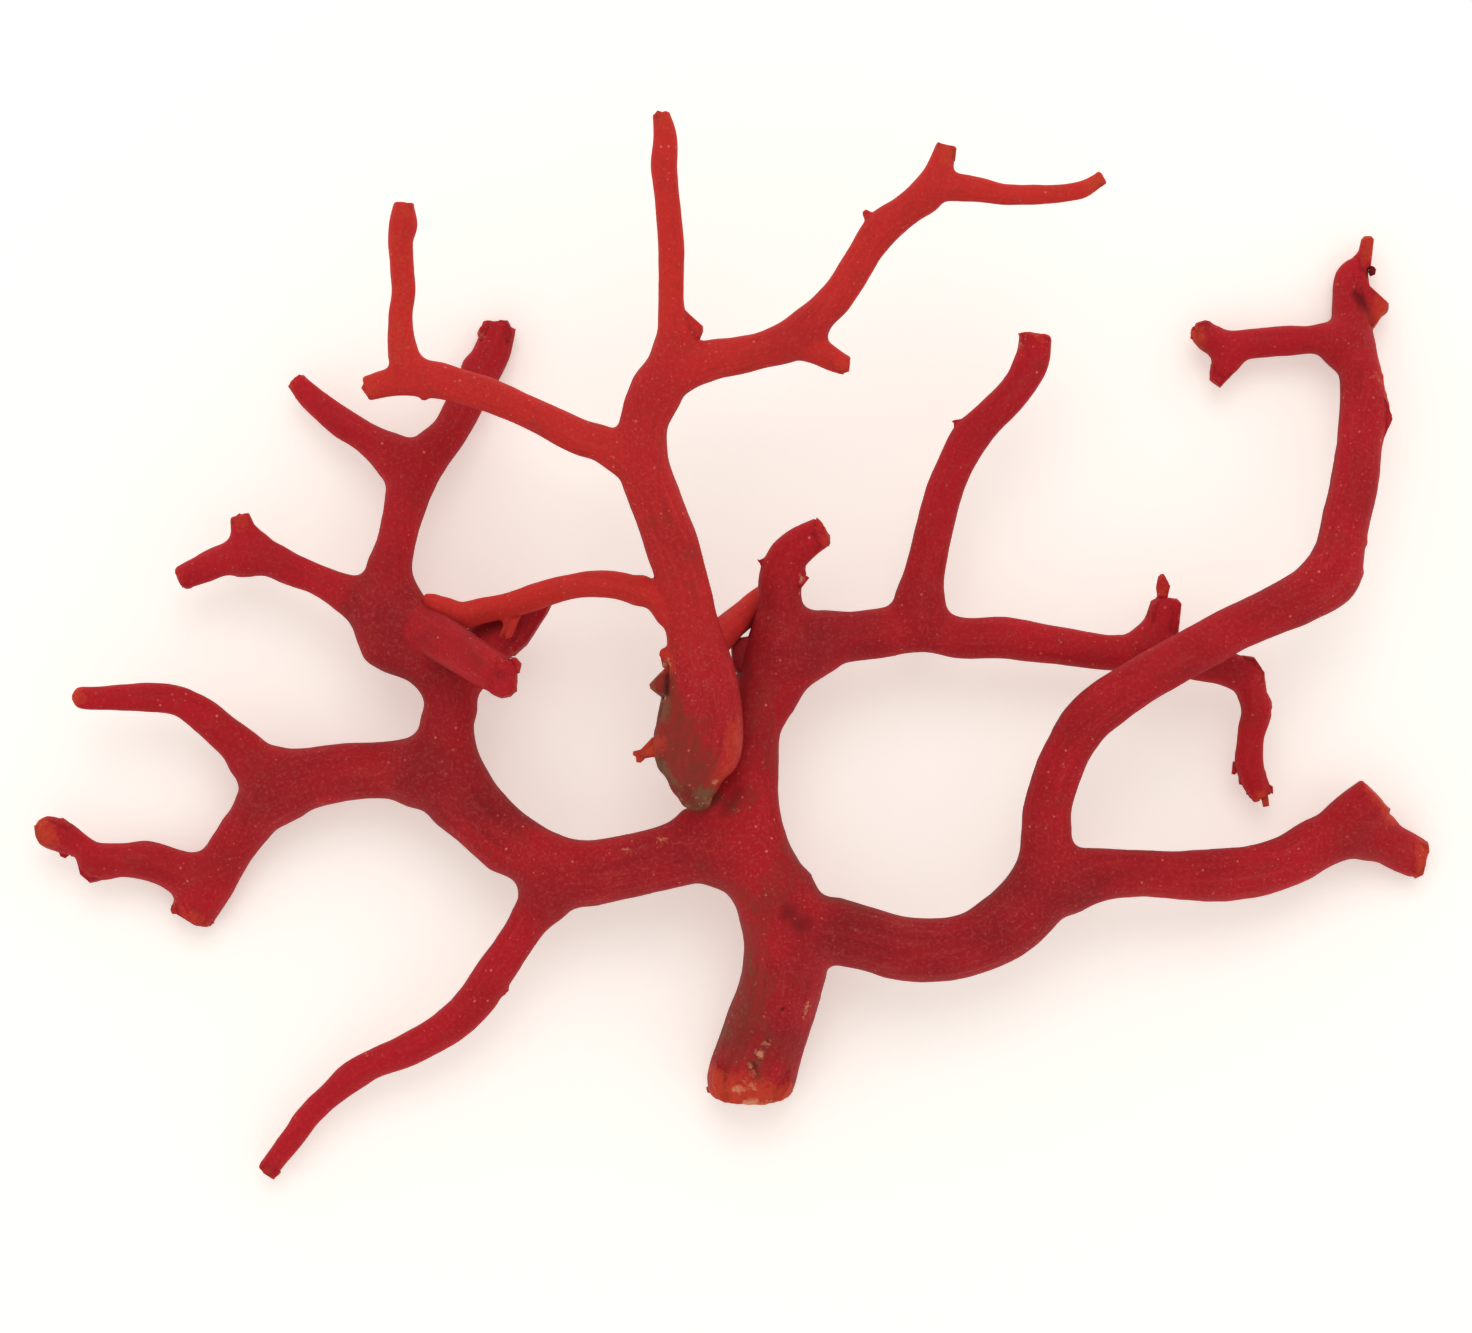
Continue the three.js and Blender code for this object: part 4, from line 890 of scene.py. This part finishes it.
# The bright growth: a second stony skeleton of the same coral, fresher and more orange. It is broken
# off at its foot, which rests on the dark growth's limbs with its earth and crust still on it, and a
# twig at its back is caught under the dark growth's curled stub.
BRIGHT_COURSES = {
    "trunk": [
        [-4.1, -19.8, 20, 1.1], [-4.9, -17.9, 20.7, 3], [-5.3, -15.6, 21.5, 4.4],
        [-5, -12.8, 22.2, 5.8], [-4.5, -9.8, 22.5, 5.9], [-4.1, -6.2, 22.9, 5.3],
        [-4.3, -1.1, 23.5, 4.4], [-5.5, 4.6, 24.3, 3.7], [-6.7, 10, 25.4, 3.5],
        [-8.2, 15.3, 27, 3.6], [-9.7, 19.6, 28, 3.5], [-11.3, 23.8, 29, 3.4], [-12.2, 27.5, 29.6, 3.6],
        [-11.7, 31.7, 30.2, 3.3], [-10.1, 35.6, 30.8, 3.6], [-8.6, 39.1, 31.2, 3.4],
        [-7.7, 42.5, 31.6, 2.6], [-8.1, 46.1, 32, 1.8], [-8.2, 50, 32.4, 1.7], [-8.2, 54.2, 32.8, 1.8],
        [-8.6, 59.8, 33.3, 1.7], [-9.1, 64.4, 33.7, 1.7], [-9, 68.9, 34, 1.6], [-9.5, 71.9, 34.2, 1.2],
    ],
    "left": [
        [-12.4, 26.2, 29.5, 3.4], [-15, 27.5, 29.5, 2.9], [-17.4, 28.6, 29.4, 2.5],
        [-20.5, 29.6, 29.2, 2.4], [-24, 31.4, 29, 2.3], [-28, 33.3, 28.8, 2.2],
        [-32.3, 35.1, 28.5, 2.3], [-36, 36.3, 28.2, 2.3], [-39.5, 37.2, 28, 2.5],
        [-42.7, 37.3, 27.8, 2.3], [-45.9, 36.8, 27.6, 1.9], [-48.8, 36, 27.4, 1.6],
    ],
    "left_upper": [
        [-40.6, 36.9, 28, 2.3], [-43.2, 39, 28, 2.3], [-44, 41.8, 28.2, 1.9], [-44.1, 45.7, 28.6, 1.6],
        [-43.7, 49, 29, 1.6], [-43.9, 51.9, 29.4, 1.6], [-44.1, 55.3, 29.8, 1.7],
        [-43.7, 57.9, 30, 1.9], [-43.6, 60.4, 30.2, 1.3],
    ],
    "right": [
        [-9.4, 37, 31, 3.4], [-6.3, 38.7, 31.2, 3.2], [-2.8, 39.6, 31.3, 2.7], [0.6, 40.1, 31.5, 2.5],
        [4.3, 41, 31.8, 2.5], [8.1, 42.4, 32, 2.9], [11, 44.6, 32.3, 2.8], [13.4, 47.6, 32.6, 2.3],
        [15.6, 50.8, 33, 2.2], [17.8, 54.3, 33.4, 2.2], [19.8, 56.9, 33.8, 2.4], [22.8, 59.2, 34.2, 2.2],
        [25.7, 61.5, 34.6, 2.4], [27.1, 64.5, 34.8, 1.8], [28, 67.6, 35, 1.3],
    ],
    "right_stub": [
        [8.8, 41.9, 32, 2.4], [11.2, 40.8, 32, 2], [13.3, 39.5, 32, 1.6], [15, 38.7, 32, 1.3],
    ],
    "right_twig": [
        [26.6, 62.2, 34.7, 2.1], [29.2, 62, 34.9, 1.9], [32.4, 61.6, 35.1, 1.6], [35.6, 61, 35.4, 1.4],
        [38.9, 60.9, 35.6, 1.3], [42.5, 61, 35.8, 1.2], [45.7, 61.6, 36, 1.2], [48.4, 63.2, 36.2, 0.9],
    ],
    "lower": [
        [-5.8, 5, 24.5, 2.9], [-8.7, 6.9, 24.6, 2.5], [-11.7, 8.7, 24.4, 2.1], [-15.2, 9.9, 23.8, 1.9],
        [-19.2, 10.2, 23, 1.8], [-23, 9.6, 21.6, 1.7], [-26.7, 8.5, 19.2, 1.8], [-30.5, 7.3, 17.2, 1.8],
        [-33.8, 6.7, 16.1, 1.8], [-36.9, 6, 15.9, 1.9], [-39.5, 7, 15.6, 1.7],
        [-41.2, 8, 15.3, 1.2], [-42.1, 8.6, 15.2, 0.5],
    ],
    "lower_spur": [[-30.5, 6.7, 17.2, 1.1], [-30.6, 4.7, 17.3, 0.7], [-31.4, 3, 17.4, 0.5]],
    "back": [
        [-4.5, 1, 22.5, 2.7], [-1.2, 3.8, 17.6, 2.2], [1.6, 6.3, 13.4, 1.9],
        [3.8, 8.4, 11.2, 1.7], [6, 10.2, 10.2, 1.4],
    ],
}
BRIGHT_THORNS = [
    [[-7.6, 0.3, 23.6, 1.6], [-9.9, 1.1, 23.8, 0.6]],
    [[-10, -12, 21.4, 1.1], [-12.4, -12.6, 21.1, 0.5]],
    [[-6.6, 41.8, 31.8, 1.3], [-4.3, 43.7, 31.9, 0.5]],
    [[18.7, 57.1, 33.7, 1], [17.2, 59, 33.8, 0.4]],
    [[-41, 36, 27.9, 1], [-41.1, 34.4, 27.9, 0.4]],
]
BRIGHT_GRAIN_SIZE = 0.29 * MM
BRIGHT_SEED = 5
BRIGHT_PULLS = [
    [14, 43.7, -0.8, 0, 3], [-11.4, 6.4, 0.3, 0.6, 2.5], [-12.3, 40.5, 0.6, -0.2, 3.5],
    [-11.5, 11.2, 0, 0.4, 2], [-9.2, -16.6, 0.5, 0.4, 2.6], [-7.4, -18.2, 0.4, 0.4, 2],
    [-10.8, -9.4, -0.3, 0, 2.4],
]
BRIGHT_CHIPS = [
    [21.5, 0.9, [-8.8, 1.6], [-9.7, 1.2], [-9.9, 0.8], [-9.5, -1], [-8.5, -1.4], [-7.2, -1.1],
     [-7.2, 1.6]],
    [21.6, 1.5, [-8.6, -0.4], [-9.3, -1.6], [-10.4, -2.7], [-11.3, -3.3], [-11.2, -3.9], [-10.4, -4.5],
     [-9.6, -5.1], [-7.6, -5.4], [-7.2, -1.1]],
    [21.3, 1.2, [-9.7, -5], [-9.6, -6.2], [-10, -7.6], [-10.4, -8.6], [-10.7, -10.2], [-9.3, -11],
     [-7.6, -9.4], [-7.4, -5]],
    [21, 0.7, [-10.9, -10.4], [-11.6, -11.6], [-12.5, -12.1], [-12.3, -13.3], [-10.9, -13.1],
     [-9.8, -12.2], [-9.9, -10.6]],
    [21, 0.5, [-12.2, -12], [-13, -12.2], [-13.5, -12.3], [-13.5, -12.8], [-13.1, -13.1],
     [-12.2, -13.2]],
    [21, 0.5, [-13.1, -12.8], [-13.1, -13.8], [-12.5, -13.9], [-11.9, -13.3], [-12.2, -12.6]],
    [19.8, 1.2, [-6, -18.6], [-5.6, -19.6], [-4.9, -20.1], [-4, -20.1], [-3.3, -19.2],
     [-2.8, -17.9], [-4.5, -16.9]],
    [31.8, 0.8, [-6.6, 46.4], [-5.3, 45.2], [-4, 44], [-4, 43.3], [-4.4, 42.2], [-6.5, 41.5],
     [-7.4, 44]],
    [27.9, 0.5, [-41.9, 35.8], [-41.1, 34.5], [-40.2, 35.1], [-40.1, 36.2]],
    [17.4, 0.5, [-30.4, 6.5], [-30.6, 5.1], [-31.2, 3.2], [-30.8, 2.8], [-30, 3.1], [-29.5, 4.4],
     [-28.7, 6]],
    [27.5, 1, [-48.8, 37.6], [-49.5, 36.1], [-48.4, 34.6], [-46.6, 35.2], [-46.6, 37.8]],
    [30.2, 1, [-44.6, 60.3], [-42.5, 60.4], [-42.3, 58.8], [-44.4, 58.8]],
    [34.2, 0.9, [-10.3, 71.8], [-10, 72.2], [-9.4, 72], [-8.8, 71.2], [-8.6, 69.8], [-10.1, 69.8]],
    [36, 0.6, [47, 62.8], [48, 63.7], [48.7, 62.9], [48.4, 62], [47.4, 61.5]],
    [34.9, 1, [26.4, 66.6], [26.8, 67.9], [28.2, 67.4], [29.3, 67.1], [29.1, 65.4], [27.1, 65.2]],
    [32, 0.8, [14.3, 39.7], [15.4, 39.3], [15.3, 38], [14.2, 37.7], [12.9, 38.3]],
]
BRIGHT_BREAKS = [
    [-4.5, -18, 3.4], [-9.5, 72, 1.6], [28, 67, 1.8], [48, 63, 1.4], [-48.8, 36.2, 1.8],
    [-43.5, 60.2, 1.5], [14.8, 38.8, 1.5], [-9.4, -4, 2.4], [-12.4, -12.6, 2],
]
BRIGHT_MARKS = {
    "fresh": [
        [0.6, -9.4, 0.4, -12.6, 2.4, 0.6], [0.2, -12.6, -1.8, -16.2, 2, 0.55],
        [-10.8, -11.4, -13.4, -13.2, 2, 1], [-9.6, 1.4, -8.8, -0.9, 1.5, 0.6],
        [-10.6, -3.5, -9.2, -2.4, 1, 0.5], [-9.8, 72.2, -9.4, 70.4, 1.6, 0.5],
        [27.6, 67.9, 28.4, 66, 2, 0.55], [48.5, 63.4, 46.4, 62, 1.5, 0.7],
        [-49.2, 36.2, -48.2, 36.4, 1.9, 0.55], [-43.4, 60.6, -43.6, 58, 1.5, 0.45],
        [15.4, 38.6, 14.6, 38.8, 1.6, 0.45], [-31.2, 3, -30.4, 4.8, 1.2, 0.4],
        [-44.1, 56, -44, 40, 2.2, 0.42], [31, 61.8, 44, 61.2, 1.8, 0.2],
    ],
    "earth": [
        [-8.8, -7.2, -8.6, -13, 3.8, 1], [-8, -11.6, -5.4, -16.8, 5.2, 1.05],
        [-6.6, -10.6, -5.4, -14, 4.8, 0.8], [-3.6, -14, -2.6, -17.4, 2.6, 0.7],
        [-10, -5, -10.8, -9.8, 1.8, 1.1], [-9.8, -2.4, -8.6, -4.4, 2.4, 1.3],
        [-4.4, 8.2, -5.6, 16, 1.4, 0.3], [-5, 24, -10.4, 18, 2, 0.25],
    ],
    "crust": [
        [-5.8, -20.2, -3.6, -18.6, 2.3, 0.95], [-10.4, -6, -10.8, -12.8, 1, 0.55],
        [-10.2, -13.4, -6.2, -19.4, 1.1, 0.7], [-9, -0.4, -11.4, -3.2, 0.6, 1],
        [-11, -4, -9.2, -5.6, 0.8, 0.7], [-8.8, -5.2, -9.2, -8, 1, 0.7],
    ],
    # Dark spots on the foot, and painted shade on the back twig's underside.
    "shade": [
        [-8.9, -2.2, -8.9, -4.6, 0.6, 0.9], [-10.6, -9.5, -9.8, -15, 0.8, 0.3],
        [-9.6, -15.6, -6.4, -18.8, 0.9, 0.45], [-6.4, -18.4, -4.4, -19.8, 1.6, 0.55],
        [-31.2, 2.9, -31, 3.4, 0.5, 0.5], [-0.4, 2.4, 2.6, 5.6, 1.6, 0.35],
    ],
    "pale": [
        [-8.9, -0.3, -9.5, -1.2, 0.9, 0.6], [-4.4, -19.6, -3.2, -18.4, 1, 0.45],
        [-7.4, -18.2, -6, -19.6, 0.8, 0.5], [-10.2, -5.2, -9.2, -5, 0.6, 0.5],
        [-2.6, -16.4, -2.4, -16.2, 0.5, 0.7],
    ],
}
BRIGHT_RED = (172, 32, 41)
RISING_RED = (192, 37, 44)
TWIG_RED = (216, 54, 46)

bright_lines = [drawn(course) for course in BRIGHT_COURSES.values()]
bright_thorn_lines = [np.array(thorn) * MM for thorn in BRIGHT_THORNS]
bright_growth = fused("bright_growth", bright_lines + bright_thorn_lines, BRIGHT_GRAIN_SIZE)
bright_limbs = Limbs(bright_lines)
filleted(bright_growth, bright_limbs)
worn(
    bright_growth, bright_limbs, BRIGHT_PULLS, BRIGHT_BREAKS, BRIGHT_CHIPS, BRIGHT_MARKS, BRIGHT_SEED,
)
bright_coral = coral_finish("bright_coral", BRIGHT_RED, RISING_RED, TWIG_RED)
bright_growth.data.materials.append(bright_coral)
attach(bright_growth, "root")
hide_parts(*[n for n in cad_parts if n.startswith("bright")])
